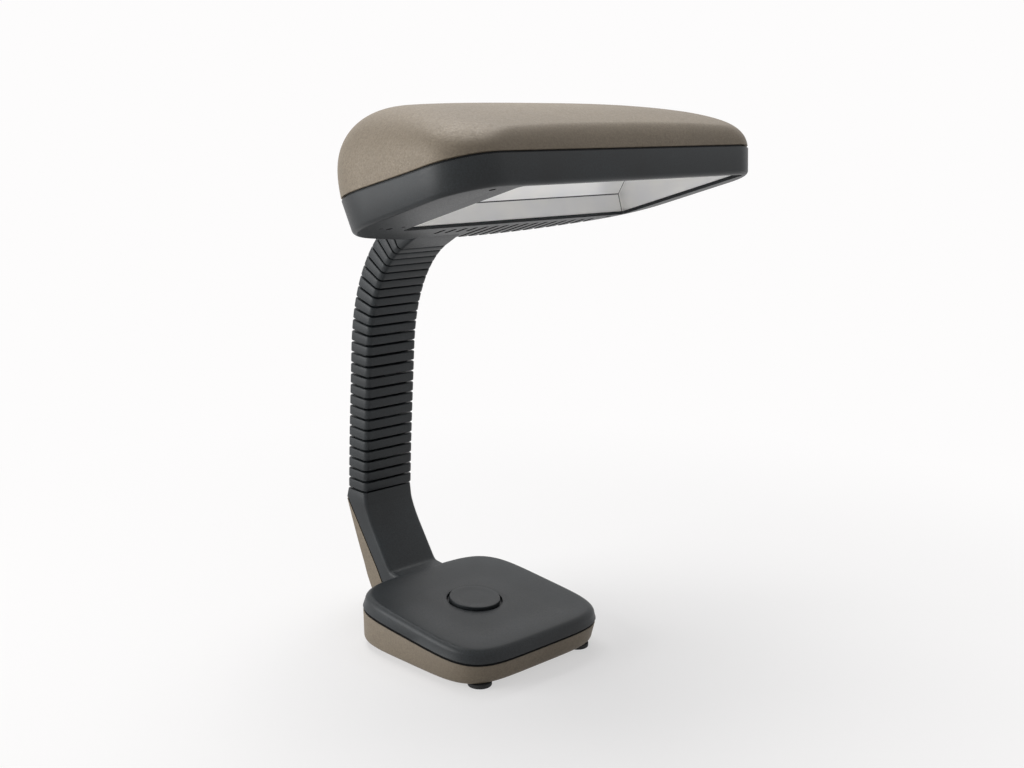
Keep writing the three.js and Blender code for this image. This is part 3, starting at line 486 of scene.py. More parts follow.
def base_outline(inset):
    """Superellipse of roundness n: x = a s(cos t), y = b s(sin t), where s(v) = sign(v) |v| ** (2 / n)."""
    across, along = circle(1.0, AROUND).T
    power = 2 / np.where(along > 0, REAR_ROUNDNESS, FRONT_ROUNDNESS)
    x = (BASE_WIDTH / 2 - inset) * np.sign(across) * np.abs(across) ** power
    y = (BASE_DEPTH / 2 - inset) * np.sign(along) * np.abs(along) ** power
    return np.column_stack([x + BASE_ASIDE, y - BASE_FORWARD])


def base_ring(inset, height):
    """The outline at one height of the drawing."""
    return level(base_outline(inset), height)


def table_at(y):
    """Height of the table under the sloping drawing, at y."""
    return (FRONT_FOOT_Y - y) * math.tan(SLOPE)


def table_ring(inset, height):
    """The outline at an even height over the table."""
    outline = base_outline(inset)
    return level(outline, table_at(outline[:, 1]) + height)


print("outline corner reach:", round(float(np.hypot(*base_outline(0).T).max()), 1), "mm")

# %% Top shell with its dish and the hole for the button
DISH_DEPTH, DISH_RUN = 1.8, 34.0
BUTTON_RADIUS, BUTTON_GAP = 20.0, 2.0
SOFT_EDGE = ((0.5, 0.0), (0.12, 0.12), (0.0, 0.5))
DISH_FLOOR = BASE_TOP - DISH_DEPTH
CEILING = DISH_FLOOR - BASE_WALL
TOP_EDGE = SEAM + BASE_SEAM_GAP
HOLE = BUTTON_RADIUS + BUTTON_GAP

rings = [base_ring(inset, TOP_EDGE + rise) for inset, rise in SOFT_EDGE]
rings += [base_ring(SIDE_LEAN + inset, BASE_TOP - drop) for drop, inset in roll(RIM_ROUND, 9)]
for share in np.linspace(0, 1, 15)[1:]:
    rings.append(base_ring(SIDE_LEAN + RIM_ROUND + DISH_RUN * share, BASE_TOP - DISH_DEPTH * ease(share)))
dish_edge, hole_edge = rings[-1], level(circle(HOLE + 0.5, AROUND), DISH_FLOOR)
rings += [dish_edge + (hole_edge - dish_edge) * share for share in (0.35, 0.7, 1.0)]
for widening, drop in ((0.15, 0.12), (0.0, 0.5), (0.0, BASE_WALL)):
    rings.append(level(circle(HOLE + widening, AROUND), DISH_FLOOR - drop))
rings.append(base_ring(BASE_WALL + SIDE_LEAN, CEILING))
rings += [base_ring(BASE_WALL, TOP_EDGE + 0.5), base_ring(BASE_WALL, TOP_EDGE)]
top_shell = block(placed(np.stack(rings)), loop=True)
print("top shell rings:", len(rings))

# %% [markdown]
# ## The stem
# The stem grows out of the rear of the top shell: a flat front face that sweeps up in one long curve,
# with rounded edges and flat sides. It is a channel, open to the rear, and a taupe cover closes it.
# A channel is one profile, shaped like a U, carried along a path. Here the path is the sweep, and
# each U reaches back to the parting line. A soft maximum of the sweep and the dish gives the fillet
# at the foot of the real moulding: m = b + k log(1 + exp((a - b) / k)).

# %% Lines of the stem, as y and z
NECK_WIDTH, NECK_DEPTH, NECK_START = 50.0, 24.8, (121.9, 87.4)
GROOVE = 1.5
STEM_FOOT, STEM_HEEL, STEM_BACK, STEM_SHOULDER = 74.6, 85.0, 135.8, 10.6
STEM_ROUND, STEM_WALL, REAR_BULGE = 3.5, 2.5, 2.2
FRONT_INSET, FRONT_LEAN, BEND_PULL, BEND_REACH, RUN_ON = 1.2, 0.6, 75.0, 26.0, 30.0
PARTING_IN, PARTING_UP, PARTING_FOOT_IN = 3.8, 1.0, 21.0
FILLET, FILLET_SINK, FILLET_BELOW = 1.4, 0.08, 45.0
PAN_BOTTOM = FOOT_HEIGHT + SEAT_GAP
SHOULDER_Z = NECK_START[1] - STEM_SHOULDER


def stem_rear(z):
    """Rear line of the stem at height z, from the heel to the shoulder, with a bulge of b sin(pi s)."""
    heel_z = table_at(STEM_HEEL) + PAN_BOTTOM
    share = (z - heel_z) / (SHOULDER_Z - heel_z)
    return STEM_HEEL + (STEM_BACK - STEM_HEEL) * share + REAR_BULGE * np.sin(np.pi * np.clip(share, 0, 1))


PART_TOP = np.array([STEM_BACK - PARTING_IN, SHOULDER_Z + PARTING_UP])
PART_FOOT = np.array([stem_rear(SEAM) - PARTING_FOOT_IN, TOP_EDGE])

start = np.array([NECK_START[0] - NECK_DEPTH / 2 + FRONT_INSET, NECK_START[1] - GROOVE / 2])
pull = np.array([start[0] - FRONT_LEAN, BEND_PULL])
foot = np.array([STEM_FOOT, BASE_TOP])
slope = unit(foot - pull)
end = pull + slope * BEND_REACH
straight = np.linalg.norm(foot - end)
run = np.concatenate([np.linspace(0, straight, 17)[1:], straight + np.linspace(0, RUN_ON, 13)[1:]])
sweep = np.vstack([quadratic(start, pull, end, 32), end, end + slope * run[:, None]])

dish_share = np.clip((BASE_DEPTH / 2 - BASE_FORWARD - SIDE_LEAN - RIM_ROUND - sweep[:, 0]) / DISH_RUN, 0, 1)
floor_z = BASE_TOP - DISH_DEPTH * ease(dish_share) - FILLET_SINK
lifted = floor_z + FILLET * np.logaddexp(0, (sweep[:, 1] - floor_z) / FILLET)
front = np.column_stack([sweep[:, 0], np.where(sweep[:, 1] < FILLET_BELOW, lifted, sweep[:, 1])])
print("sweep stations:", len(sweep))

# %% The channel: a U carried along the stem
BACK_SPREAD, TURN_AT, FOOT_REACH, INNER_ROUND = 0.9, 0.72, 12.0, 0.6


def u_profile(depth, half, radius, wall):
    """A U open to the rear, as x across and d backwards: round its outside, and back on its inside."""
    a = np.linspace(0, np.pi / 2, 7)

    def side(w, r, front, end):
        arc = np.column_stack([w - r + r * np.sin(a), front + r - r * np.cos(a)])
        return np.vstack([arc, [[w, end]]])

    outer = side(half, radius, 0.0, depth)
    inner = side(half - wall, radius - wall * INNER_ROUND, wall, depth)
    mirror = np.array([-1.0, 1.0])
    return np.vstack([outer[::-1] * mirror, outer, inner[::-1], inner * mirror])


def channel(front, rear):
    """The U carried along a path: at each station it lies in the plane of X and the line front to rear."""
    rows = []
    for near, far in zip(front, rear):
        depth = np.linalg.norm(far - near)
        profile = u_profile(depth, NECK_WIDTH / 2, STEM_ROUND, STEM_WALL)
        rows.append(np.column_stack([profile[:, 0], near + (far - near) / depth * profile[:, 1:]]))
    return np.stack(rows)


part_y = np.interp(PART_TOP[1], front[:, 1][::-1], front[:, 0][::-1])
below = np.vstack([[part_y, PART_TOP[1]], front[front[:, 1] <= PART_TOP[1]]])[::-1]
share = np.linspace(1, 0, len(below)) ** BACK_SPREAD
down = np.clip(share / TURN_AT, 0, 1)[:, None]
forward = np.clip((share - TURN_AT) / (1 - TURN_AT), 0, 1)[:, None]
last = np.array([STEM_FOOT - FOOT_REACH, TOP_EDGE])
rear = PART_TOP + (PART_FOOT - PART_TOP) * down + (last - PART_FOOT) * forward
stem = block(placed(channel(below, rear)))
print("stem stations:", len(below))

# %% The band at the top of the stem
NECK_LEAN = math.radians(-3.7)


def band_ring(share, drop, inset):
    """A rounded rectangle, from the parting line at share 0 to the leaning top of the stem at share 1."""
    front_y = part_y * (1 - share) + share * sweep[0, 0]
    rear_y = STEM_BACK * (1 - share) + share * (NECK_START[0] + NECK_DEPTH / 2)
    plan = rounded_rectangle(NECK_WIDTH - 2 * inset, rear_y - front_y - 2 * inset, STEM_ROUND - inset / 2)
    plan[:, 1] += (front_y + rear_y) / 2
    top = NECK_START[1] - GROOVE / 2 + (plan[:, 1] - NECK_START[0]) * math.tan(NECK_LEAN)
    return level(plan, PART_TOP[1] * (1 - share) + share * top - drop)


outside = [(0, 0, 0), (1, 0.5, 0), (1, 0.15, 0.15), (1, 0, 0.5)]
inside = [(1, 0, STEM_WALL), (0, 0, STEM_WALL)]
band = block(placed(np.stack([band_ring(*ring) for ring in outside + inside])), loop=True)
make_piece("base_top_moulding", [top_shell, band, stem], charcoal, "base", "base_top_shell")
print("band rings:", len(outside + inside))

# %% [markdown]
# ## The pan and the rear cover
# The pan is the taupe half of the base. Its rings are level with the table at the bottom and level
# with the seam at the top, so each row of the grid is a blend of the two planes. The rear cover of the
# stem is part of the same moulding: a U that opens forwards, and a plain lump below the seam. A lip
# stands behind the seam, and its faces are painted near black as shade, so that the seam reads as a
# dark line.

# %% Pan rings, outside and in
BOTTOM_ROUND, DRAFT, PAN_FLOOR = 5.5, 1.6, 3.8
LIP_WALL, LIP_RISE, LIP_ROOT, FLOOR_INSET = 1.2, 0.4, 2.0, 2.0
LIP_ROWS = (10, 14)

rings = []
for inset, rise in roll(1.0, 8):
    rings.append(table_ring(DRAFT + (BOTTOM_ROUND - DRAFT) * inset, PAN_BOTTOM + BOTTOM_ROUND * rise))
rings += [base_ring(SEAT_GAP + inset, SEAM - drop) for drop, inset in SOFT_EDGE]
lip_out, lip_in = BASE_WALL + SEAT_GAP, BASE_WALL + SEAT_GAP + LIP_WALL
rings += [base_ring(lip_out, SEAM), base_ring(lip_out, TOP_EDGE + LIP_RISE)]
rings += [base_ring(lip_in, TOP_EDGE + LIP_RISE), base_ring(lip_in, SEAM - LIP_ROOT)]
rings.append(table_ring(BASE_WALL + DRAFT + FLOOR_INSET, PAN_BOTTOM + PAN_FLOOR))
pan = block(placed(np.stack(rings)))
print("pan rings:", len(rings))

# %% Rear cover of the stem: the U turned round, a seam's width behind the parting line
COVER_STEPS, COVER_FOOT = 25, TOP_EDGE - 1.2

z = np.linspace(PART_TOP[1] - SEAM_GAP, COVER_FOOT, COVER_STEPS)
down = (PART_TOP[1] - z) / (PART_TOP[1] - PART_FOOT[1])
part = PART_TOP[0] + (PART_FOOT[0] - PART_TOP[0]) * down + SEAM_GAP
turned_round = channel(np.column_stack([stem_rear(z), z]), np.column_stack([part, z])) * [-1, 1, 1]
rear_cover = block(placed(turned_round[::-1]))
print("rear cover rows:", len(turned_round))

# %% The lump below it, and the whole moulding
LUMP_FRONT, LUMP_ROUND = 58, 3

rows = []
for inset, rise in roll(LUMP_ROUND, 7):
    back_y = STEM_HEEL + (stem_rear(0) - stem_rear(-1)) * rise
    plan = rounded_rectangle(NECK_WIDTH - 2 * inset, back_y - LUMP_FRONT - inset, STEM_ROUND)
    plan[:, 1] += (back_y - inset + LUMP_FRONT) / 2
    rows.append(level(plan, table_at(plan[:, 1]) + (PAN_BOTTOM + rise)))
back_y = stem_rear(COVER_FOOT)
plan = rounded_rectangle(NECK_WIDTH, back_y - LUMP_FRONT, STEM_ROUND) + [0, (back_y + LUMP_FRONT) / 2]
rows.append(level(plan, COVER_FOOT))
lump = block(placed(np.stack(rows)))

parts = [pan, lump, rear_cover]
bottom = make_piece("base_pan_and_rear_cover", parts, taupe, "base", "base_bottom_shell")
# The lip's faces behind the seam get the near-black painted shade, standing for the shadow in the seam.
bottom.data.materials.append(shadow_gap)
finish = np.zeros(len(bottom.data.polygons), np.int32)
finish[LIP_ROWS[0] * AROUND : LIP_ROWS[1] * AROUND] = 1
bottom.data.polygons.foreach_set("material_index", finish)
print("black faces behind the seam:", int(finish.sum()))

# %% [markdown]
# ## The push button
# A turned cap with a rolled edge and a very shallow dish, which finds the middle for the finger. A
# flange below the top shell keeps it in. A lathe makes it: each pair of radius and height is a ring.

# %% Push button
BUTTON_PROUD, BUTTON_ROLL, CAP_DISH, CAP_DISH_SHARE = 2.1, 0.6, 0.35, 0.4
FLANGE_RADIUS, FLANGE_THICK = 24.5, 1.6
PIN_RADIUS, PIN_CLEAR, PIN_SUNK = 3.0, 0.4, 0.5
AXIS = 0.01

button_top = DISH_FLOOR + BUTTON_PROUD
flange_top = CEILING - SEAT_GAP
flange_low = flange_top - FLANGE_THICK
profile = [(AXIS, flange_low), (FLANGE_RADIUS, flange_low), (FLANGE_RADIUS, flange_top)]
profile.append((BUTTON_RADIUS, flange_top))
profile += [(BUTTON_RADIUS - inset, button_top - drop) for drop, inset in roll(BUTTON_ROLL, 7)]
for share in np.linspace(0, 1, 9)[1:]:
    radius = (BUTTON_RADIUS - BUTTON_ROLL) * (1 - share) + AXIS
    profile.append((radius, button_top - CAP_DISH * ease(min(1, share / CAP_DISH_SHARE))))
cap = block(placed(lathe(profile, 96)))
button_low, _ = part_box("power_button")
pin_low = (button_low.z / MM - SHIFT_MM[2]) / math.cos(SLOPE) + PIN_CLEAR
pin_top = flange_low + PIN_SUNK
profile = [(AXIS, pin_low), (PIN_RADIUS, pin_low), (PIN_RADIUS, pin_top), (AXIS, pin_top)]
pin = block(placed(lathe(profile, 32)))
make_piece("push_button_cap", [cap, pin], charcoal, "button", "power_button")
print("button top is", round(button_top - BASE_TOP, 2), "mm from the rim")

# %% [markdown]
# ## The ribbed neck
# The neck is a stack of moulded ribs. Each one is a wedge that takes its own share of the bend, with
# rolled edges. A round bar under each rib, its knuckle, rocks in a seat in the rib below it. Most
# grooves rock fore and aft; every fourth one has its knuckle turned a quarter round and sways.

# %% Where each groove of the neck lies
RIBS, PITCH, NECK_CORNER, RIB_ROLL = 26, 8.8, 4.2, 0.9
NECK_BOW, BOW_SPAN, BOW_POWER = 3.5, 24, 1.8
NECK_BEND, BEND_START, BEND_POWER, WEDGE = math.radians(57.9), 0.5, 1.3, 0.75

step = np.arange(RIBS + 1) / RIBS
lean = NECK_LEAN + NECK_BEND * np.clip((step - BEND_START) / (1 - BEND_START), 0, None) ** BEND_POWER
heading = (lean[:-1] + lean[1:]) / 2
groove_y = NECK_START[0] - PITCH * np.concatenate([[0], np.cumsum(np.sin(heading))])
groove_z = NECK_START[1] + PITCH * np.concatenate([[0], np.cumsum(np.cos(heading))])
groove_y -= NECK_BOW * np.sin(np.pi * (np.arange(RIBS + 1) / BOW_SPAN) ** BOW_POWER)
heading = np.arctan2(-np.diff(groove_y), np.diff(groove_z))
lean[1:-1] = (heading[:-1] + heading[1:]) / 2
top_lean = round(math.degrees(lean[-1]), 1)
print("top groove leans", top_lean, "degrees at", round(float(groove_z[-1]), 1), "mm")

# %% One rib
KNUCKLE, KNUCKLE_INSET, KNUCKLE_STEPS, SWAY_EVERY = 5.2, 3.0, 28, 4


def neck_ring(z, tilt, inset):
    """A rounded rectangle at height z of the rib, tilted about X: z + y tan(tilt)."""
    plan = rounded_rectangle(NECK_WIDTH - 2 * inset, NECK_DEPTH - 2 * inset, NECK_CORNER - inset)
    return level(plan, z + plan[:, 1] * math.tan(tilt))


def rib_rows(tilt):
    """The rib's skin: a quarter-round roll at each end, and flat sides between."""
    low, high = GROOVE / 2 - PITCH / 2, PITCH / 2 - GROOVE / 2
    rows = [neck_ring(low + rise, -tilt, inset) for inset, rise in roll(RIB_ROLL, 4)]
    rows += [neck_ring(high - drop, tilt, inset) for inset, drop in roll(RIB_ROLL, 4)[::-1]]
    return np.stack(rows)


def bar(along_y, z, tilt, clearance):
    """A round bar across the neck, along X or Y: one ring at each end."""
    half = (NECK_DEPTH if along_y else NECK_WIDTH) / 2 - KNUCKLE_INSET + clearance
    across, up = circle(KNUCKLE + clearance, KNUCKLE_STEPS).T
    ends = []
    for end in (-half, half):
        along = np.full(KNUCKLE_STEPS, end)
        ends.append(np.column_stack([across, along, -up] if along_y else [along, across, up]))
    return turned_x(np.stack(ends), tilt) + [0, 0, z]


def neck_place(points, index):
    """Points of one rib, turned to its lean and moved to the middle between its two grooves."""
    middle = [0, (groove_y[index] + groove_y[index + 1]) / 2, (groove_z[index] + groove_z[index + 1]) / 2]
    return placed(turned_x(points, heading[index]) + middle)


def add_blocks(piece, blocks):
    """Joins more closed blocks to a piece's mesh."""
    shape = bmesh.new()
    shape.from_mesh(piece.data)
    shape.from_mesh(make_mesh("more", blocks))
    shape.to_mesh(piece.data)
    shape.free()
    smooth(piece.data)


print("a straight rib has", len(rib_rows(0)), "rings")

# %% All ribs
for index in range(RIBS):
    bend = lean[index + 1] - lean[index]
    label = f"{index + 1:02d}"
    skin = block(neck_place(rib_rows(bend / 2 * WEDGE), index))
    name, body, node = f"neck_rib_moulding_{label}", f"rib_{label}", f"neck_rib_{label}"
    rib = make_piece(name, [skin], charcoal, body, node)
    seat = bar((index + 1) % SWAY_EVERY == SWAY_EVERY - 1, PITCH / 2, bend / 2, SEAT_GAP)
    carve(rib, [block(neck_place(seat, index))])
    knuckle = bar(index % SWAY_EVERY == SWAY_EVERY - 1, -PITCH / 2, -bend / 2, 0)
    add_blocks(rib, [block(neck_place(knuckle, index))])
print("made", RIBS, "ribs of", len(rib.data.polygons), "faces")

# %% [markdown]
# ## The head
# The head is drawn in its own plane, which tilts nose-up. One plan outline serves the frame and the
# cover: straight front and sides, round front corners and a bowed rear. The outline is drawn in by a
# different amount on each side as it climbs, which puts the soft crease where the roof meets the front.

# %% Plan outline of the head
HEAD_TILT = math.radians(-22.5)
HEAD_ORIGIN = np.array([0, 88.4143, 296.7214])
HEAD_LEFT, HEAD_RIGHT, HEAD_FRONT, HEAD_REAR, REAR_BOW = -118.0, 200.0, -190.5, -51.0, 46.0
LEFT_CORNER, RIGHT_CORNER, REAR_CORNER = 38.0, 30.0, 36.0
MIDDLE = np.array([(HEAD_LEFT + HEAD_RIGHT) / 2, (HEAD_FRONT + HEAD_REAR + REAR_BOW) / 2])


def head_place(points):
    """Points of the head's own frame, tilted nose-up and moved on to the neck."""
    return placed(turned_x(points, HEAD_TILT) + HEAD_ORIGIN)


def line(start, end, count):
    """Straight line without its last point."""
    t = np.linspace(0, 1, count, endpoint=False)[:, None]
    return np.array(start) * (1 - t) + np.array(end) * t


def corner(x, y, radius, start):
    """Quarter of a circle without its last point."""
    a = start + np.linspace(0, np.pi / 2, 16, endpoint=False)
    return np.column_stack([x + radius * np.cos(a), y + radius * np.sin(a)])


shoulder = HEAD_REAR + REAR_CORNER / 2
side_end, bow = HEAD_REAR - REAR_CORNER, HEAD_REAR + 2 * REAR_BOW - REAR_CORNER / 2
in_left, in_right = HEAD_LEFT + REAR_CORNER, HEAD_RIGHT - REAR_CORNER
front_left, front_right = HEAD_LEFT + LEFT_CORNER, HEAD_RIGHT - RIGHT_CORNER
head_plan = np.vstack([
    line([front_left, HEAD_FRONT], [front_right, HEAD_FRONT], 36),
    corner(front_right, HEAD_FRONT + RIGHT_CORNER, RIGHT_CORNER, -np.pi / 2),
    line([HEAD_RIGHT, HEAD_FRONT + RIGHT_CORNER], [HEAD_RIGHT, side_end], 14),
    quadratic([HEAD_RIGHT, side_end], [HEAD_RIGHT, HEAD_REAR], [in_right, shoulder], 14),
    quadratic([in_right, shoulder], [MIDDLE[0], bow], [in_left, shoulder], 60),
    quadratic([in_left, shoulder], [HEAD_LEFT, HEAD_REAR], [HEAD_LEFT, side_end], 14),
    line([HEAD_LEFT, side_end], [HEAD_LEFT, HEAD_FRONT + LEFT_CORNER], 14),
    corner(front_left, HEAD_FRONT + LEFT_CORNER, LEFT_CORNER, np.pi),
])
print("points round the head:", len(head_plan))

# %% Drawing the outline in
SEAM_SLOPE, SEAM_START, SEAM_BEND = 0.048, -150.0, 6.0


def back_share(y):
    """How far y lies from the front edge to the middle of the bowed rear, from 0 to 1."""
    return np.clip((y - HEAD_FRONT) / (HEAD_REAR + REAR_BOW - HEAD_FRONT), 0, 1)


def seam_rise(y):
    """How far the seam climbs over its front height: slope (y - start) behind the start, softly bent."""
    return SEAM_SLOPE * SEAM_BEND * np.logaddexp(0, (y - SEAM_START) / SEAM_BEND)


def head_inset(left_front, left_rear, right_side, front_side, rear_side):
    """Scales each half of the plan about the middle, so that each side moves in by its own amount."""
    x, y = head_plan.T
    left = left_front + (left_rear - left_front) * back_share(y)
    across = np.where(x < MIDDLE[0], left / (MIDDLE[0] - HEAD_LEFT), right_side / (HEAD_RIGHT - MIDDLE[0]))
    along = np.where(y < MIDDLE[1], front_side, rear_side) / (MIDDLE[1] - HEAD_FRONT)
    return MIDDLE + (head_plan - MIDDLE) * np.column_stack([1 - across, 1 - along])


def even_ring(inset, z, climb=0.0):
    """The plan drawn in evenly on all sides, at height z; with climb 1 it follows the seam's rise."""
    plan = head_inset(*[inset] * 5)
    return level(plan, z + climb * seam_rise(plan[:, 1]))


print("frame plan inset by 5 mm:", even_ring(5, 0).min(0).round(1))

# %% Cover: a dome from the seam to the sloping roof
FRAME_HEIGHT, HEAD_WALL, EDGE_BREAK = 20.2, 2.5, 0.4
COVER_LOW = FRAME_HEIGHT + SEAM_GAP
COVER_FRONT, COVER_PEAK, COVER_DROOP = 37.2, 92.5, 6.0
COVER_INSETS = np.array([30.0, 80.0, 16.0, 7.0, 55.0])
COVER_POWER, ROOF_POWER, DROOP_POWER = 2.6, 2.3, 3.0
DOME_ANGLE = 40


def roof(x, y):
    """Height h = front + rise (1 - (1 - s) ** p) - droop |a| ** q, with s backwards and a sideways."""
    rise = (COVER_PEAK - COVER_FRONT) * (1 - (1 - back_share(y)) ** ROOF_POWER)
    aside = np.abs((x - MIDDLE[0]) / (HEAD_RIGHT - MIDDLE[0]))
    return COVER_FRONT + rise - COVER_DROOP * aside**DROOP_POWER


def dome_rows(wall, edge, steps):
    """Superellipse wall: as it climbs by sin t ** (2 / p) it comes in by 1 - cos t ** (2 / p)."""
    rows = [even_ring(wall + edge, COVER_LOW, 1), even_ring(wall, COVER_LOW + EDGE_BREAK, 1)]

    def lift(plan, rise):
        low = COVER_LOW + EDGE_BREAK + seam_rise(plan[:, 1])
        return level(plan, low + (roof(*plan.T) - wall - low) * rise)

    for t in np.linspace(0, np.pi / 2, steps)[1:]:
        share = 1 - abs(math.cos(t)) ** (2 / COVER_POWER)
        rows.append(lift(head_inset(*(wall + COVER_INSETS * share)), math.sin(t) ** (2 / COVER_POWER)))
    rim = head_inset(*(wall + COVER_INSETS))
    for share in np.linspace(1, 0.03, 16)[1:]:
        rows.append(lift(MIDDLE + (rim - MIDDLE) * share, 1.0))
    return rows


# The inner skin is walked backwards, so one grid closes both skins at their rims.
skins = block(head_place(np.stack(dome_rows(HEAD_WALL, 0, 14)[::-1] + dome_rows(0.0, EDGE_BREAK, 30))))
cover = make_piece("head_cover_dome", [skins], taupe, "head", "head_cover", DOME_ANGLE)
print("cover faces:", len(cover.data.polygons))

# %% [markdown]
# ## The head frame
# The frame is a tray: a drafted wall with a rolled lower edge and a flat bottom. It starts as one
# closed stack of outlines. The opening for the lamp is cut out of it first. The cooling slots, the
# small holes and the screw seats follow; their walls are painted near black as shade, because they
# are deep and narrow. The lip behind the seam and the collar over the neck are added last.

# %% Tray of the frame
FRAME_DRAFT, EDGE_ROLL = 3.2, 3.0

draft_per_mm = FRAME_DRAFT / FRAME_HEIGHT
rows = [even_ring(FRAME_DRAFT - draft_per_mm * z + inset, z) for inset, z in roll(EDGE_ROLL, 9)]
rows += [even_ring(inset, FRAME_HEIGHT - drop, 1) for inset, drop in ((0.05, 0.5), (0.15, 0.15), (0.5, 0))]
rows += [even_ring(HEAD_WALL, FRAME_HEIGHT, 1), even_ring(FRAME_DRAFT + HEAD_WALL, HEAD_WALL)]
skin = block(head_place(np.stack(rows)))
tray = make_piece("head_frame_moulding", [skin], charcoal, "head", "head_frame")
print("tray rows:", len(rows))

# %% The opening for the lamp
OPENING = np.array([[-62.0, 180.0], [-182.0, -55.0]])
OPENING_CORNER, CORNER_MARGIN = 5.0, 7.1
CUT_FROM, OPENING_TOP = -3.0, FRAME_HEIGHT - 4


def keep_inside(plan, margin):
    """Keeps the opening clear of the wall: points beyond the plan's front corners slide on to them."""
    pulled = plan.copy()
    for x, radius in ((front_left, LEFT_CORNER), (front_right, RIGHT_CORNER)):
        limit = radius - margin
        offset = plan - [x, HEAD_FRONT + radius]
        outward = (offset[:, 1] < 0) & (offset[:, 0] * np.sign(x - MIDDLE[0]) > 0)
        reach = np.maximum(np.hypot(*offset.T), 1e-6)
        pull = np.where(outward & (reach > limit), limit / reach, 1.0)[:, None]
        pulled = np.where(outward[:, None], [x, HEAD_FRONT + radius] + offset * pull, pulled)
    return pulled


span = OPENING[:, 1] - OPENING[:, 0]
opening = keep_inside(rounded_rectangle(*span, OPENING_CORNER, 12) + OPENING.mean(1), CORNER_MARGIN)
carve(tray, [block(head_place(tube_section(opening, CUT_FROM, OPENING_TOP)))])
print("opening:", span, "mm")

# %% Slots and holes
SLOTS, SLOT_FIRST, SLOT_PITCH, SLOT_WIDTH = 16, -13.0, 10.9, 4.2
SLOT_SETBACK, SLOT_END, SLOT_WRAP, SHORT_SLOT = 8.0, 3.0, 5.0, 13.0
SCREWS = [
    (HEAD_LEFT + 36, HEAD_FRONT + 14.5),
    (HEAD_LEFT + 36, HEAD_REAR - 16),
    (HEAD_RIGHT - 34, OPENING[1, 1] + 5.5),
]
SCREW_HOLE, PIN_HOLE, HOLE_TOP = 2.5, 1.4, 4
PIN_ASIDE, PIN_FORWARD = 10, 3.5

cuts = []
for number in range(SLOTS):
    x = SLOT_FIRST + number * SLOT_PITCH
    start = OPENING[1, 1] + SLOT_SETBACK
    near_collar = abs(x) < NECK_WIDTH / 2 + SLOT_WIDTH
    end = start + SHORT_SLOT if near_collar else SLOT_END
    plan = rounded_rectangle(SLOT_WIDTH, end - start, SLOT_WIDTH / 2 - 0.01, 6) + [x, (start + end) / 2]
    cuts.append(tube_section(plan, CUT_FROM, SLOT_WRAP))
cuts += [tube_section(circle(SCREW_HOLE, 40, at), CUT_FROM, HOLE_TOP) for at in SCREWS]
for aside in (-PIN_ASIDE, PIN_ASIDE):
    at = (SCREWS[1][0] + aside, SCREWS[1][1] - PIN_FORWARD)
    cuts.append(tube_section(circle(PIN_HOLE, 24, at), CUT_FROM, HOLE_TOP))
# The walls of the slots and holes take the near-black painted shade.
carve(tray, [block(head_place(cut)) for cut in cuts], finish=shadow_gap)
print("cut", len(cuts), "slots and holes into the frame")

# %% Lip behind the seam, and the collar over the neck
LIP_LOW, LIP_HIGH = 15, 22.8
COLLAR_REACH, COLLAR_TAPER = 24, 3.0

lip_out, lip_in = HEAD_WALL + SEAT_GAP, HEAD_WALL + SEAT_GAP + LIP_WALL
corners = ((lip_out, LIP_LOW), (lip_out, LIP_HIGH), (lip_in, LIP_HIGH), (lip_in, LIP_LOW))
lip = block(head_place(np.stack([even_ring(inset, z, 1) for inset, z in corners])), loop=True)
sleeve = [neck_ring(GROOVE / 2 + rise, 0, inset) for inset, rise in roll(RIB_ROLL, 4)]
sleeve += [neck_ring(COLLAR_REACH, 0, 0), neck_ring(COLLAR_REACH, 0, COLLAR_TAPER)]
top = [0, groove_y[-1], groove_z[-1]]
collar, knuckle = (
    block(placed(turned_x(rows, lean[-1]) + top)) for rows in (np.stack(sleeve), bar(False, 0, 0, 0))
)
add_blocks(tray, [lip, collar, knuckle])
print("frame faces:", len(tray.data.polygons))

# %% [markdown]
# ## Pieces that keep their CAD shape
# The small fittings have the right shape already. Each is copied, its loose triangles are merged, flat
# faces are joined, and a narrow bevel softens the edges, because no moulded or folded edge is sharp.
# The reflector then gets thin lines of painted shade along its fold and its corner seam, and the
# ballast board a second and third finish for its choke and its capacitor.

# %% Softened copies
EDGE_ANGLE, FOLD_ANGLE, FLAT_ANGLE, MERGE_M = 35, 12, 0.5, 1e-5


def softened(node, name, material, body, width_mm, slot, angle=EDGE_ANGLE):
    """A merged and bevelled copy of a CAD node, which it then stands for."""
    shape = bmesh.new()
    shape.from_mesh(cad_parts[node].data)
    bmesh.ops.remove_doubles(shape, verts=shape.verts, dist=MERGE_M)
    flat = math.radians(FLAT_ANGLE)
    bmesh.ops.dissolve_limit(shape, angle_limit=flat, verts=shape.verts, edges=shape.edges)
    mesh = bpy.data.meshes.new(name)
    shape.to_mesh(mesh)
    shape.free()
    mesh.materials.clear()
    mesh.materials.append(material)
    piece = show(name, mesh)
    bevel = piece.modifiers.new("bevel", "BEVEL")
    bevel.width, bevel.segments, bevel.angle_limit = width_mm * MM, 2, math.radians(angle)
    keep_result(piece, angle)
    return dress(piece, body, node)


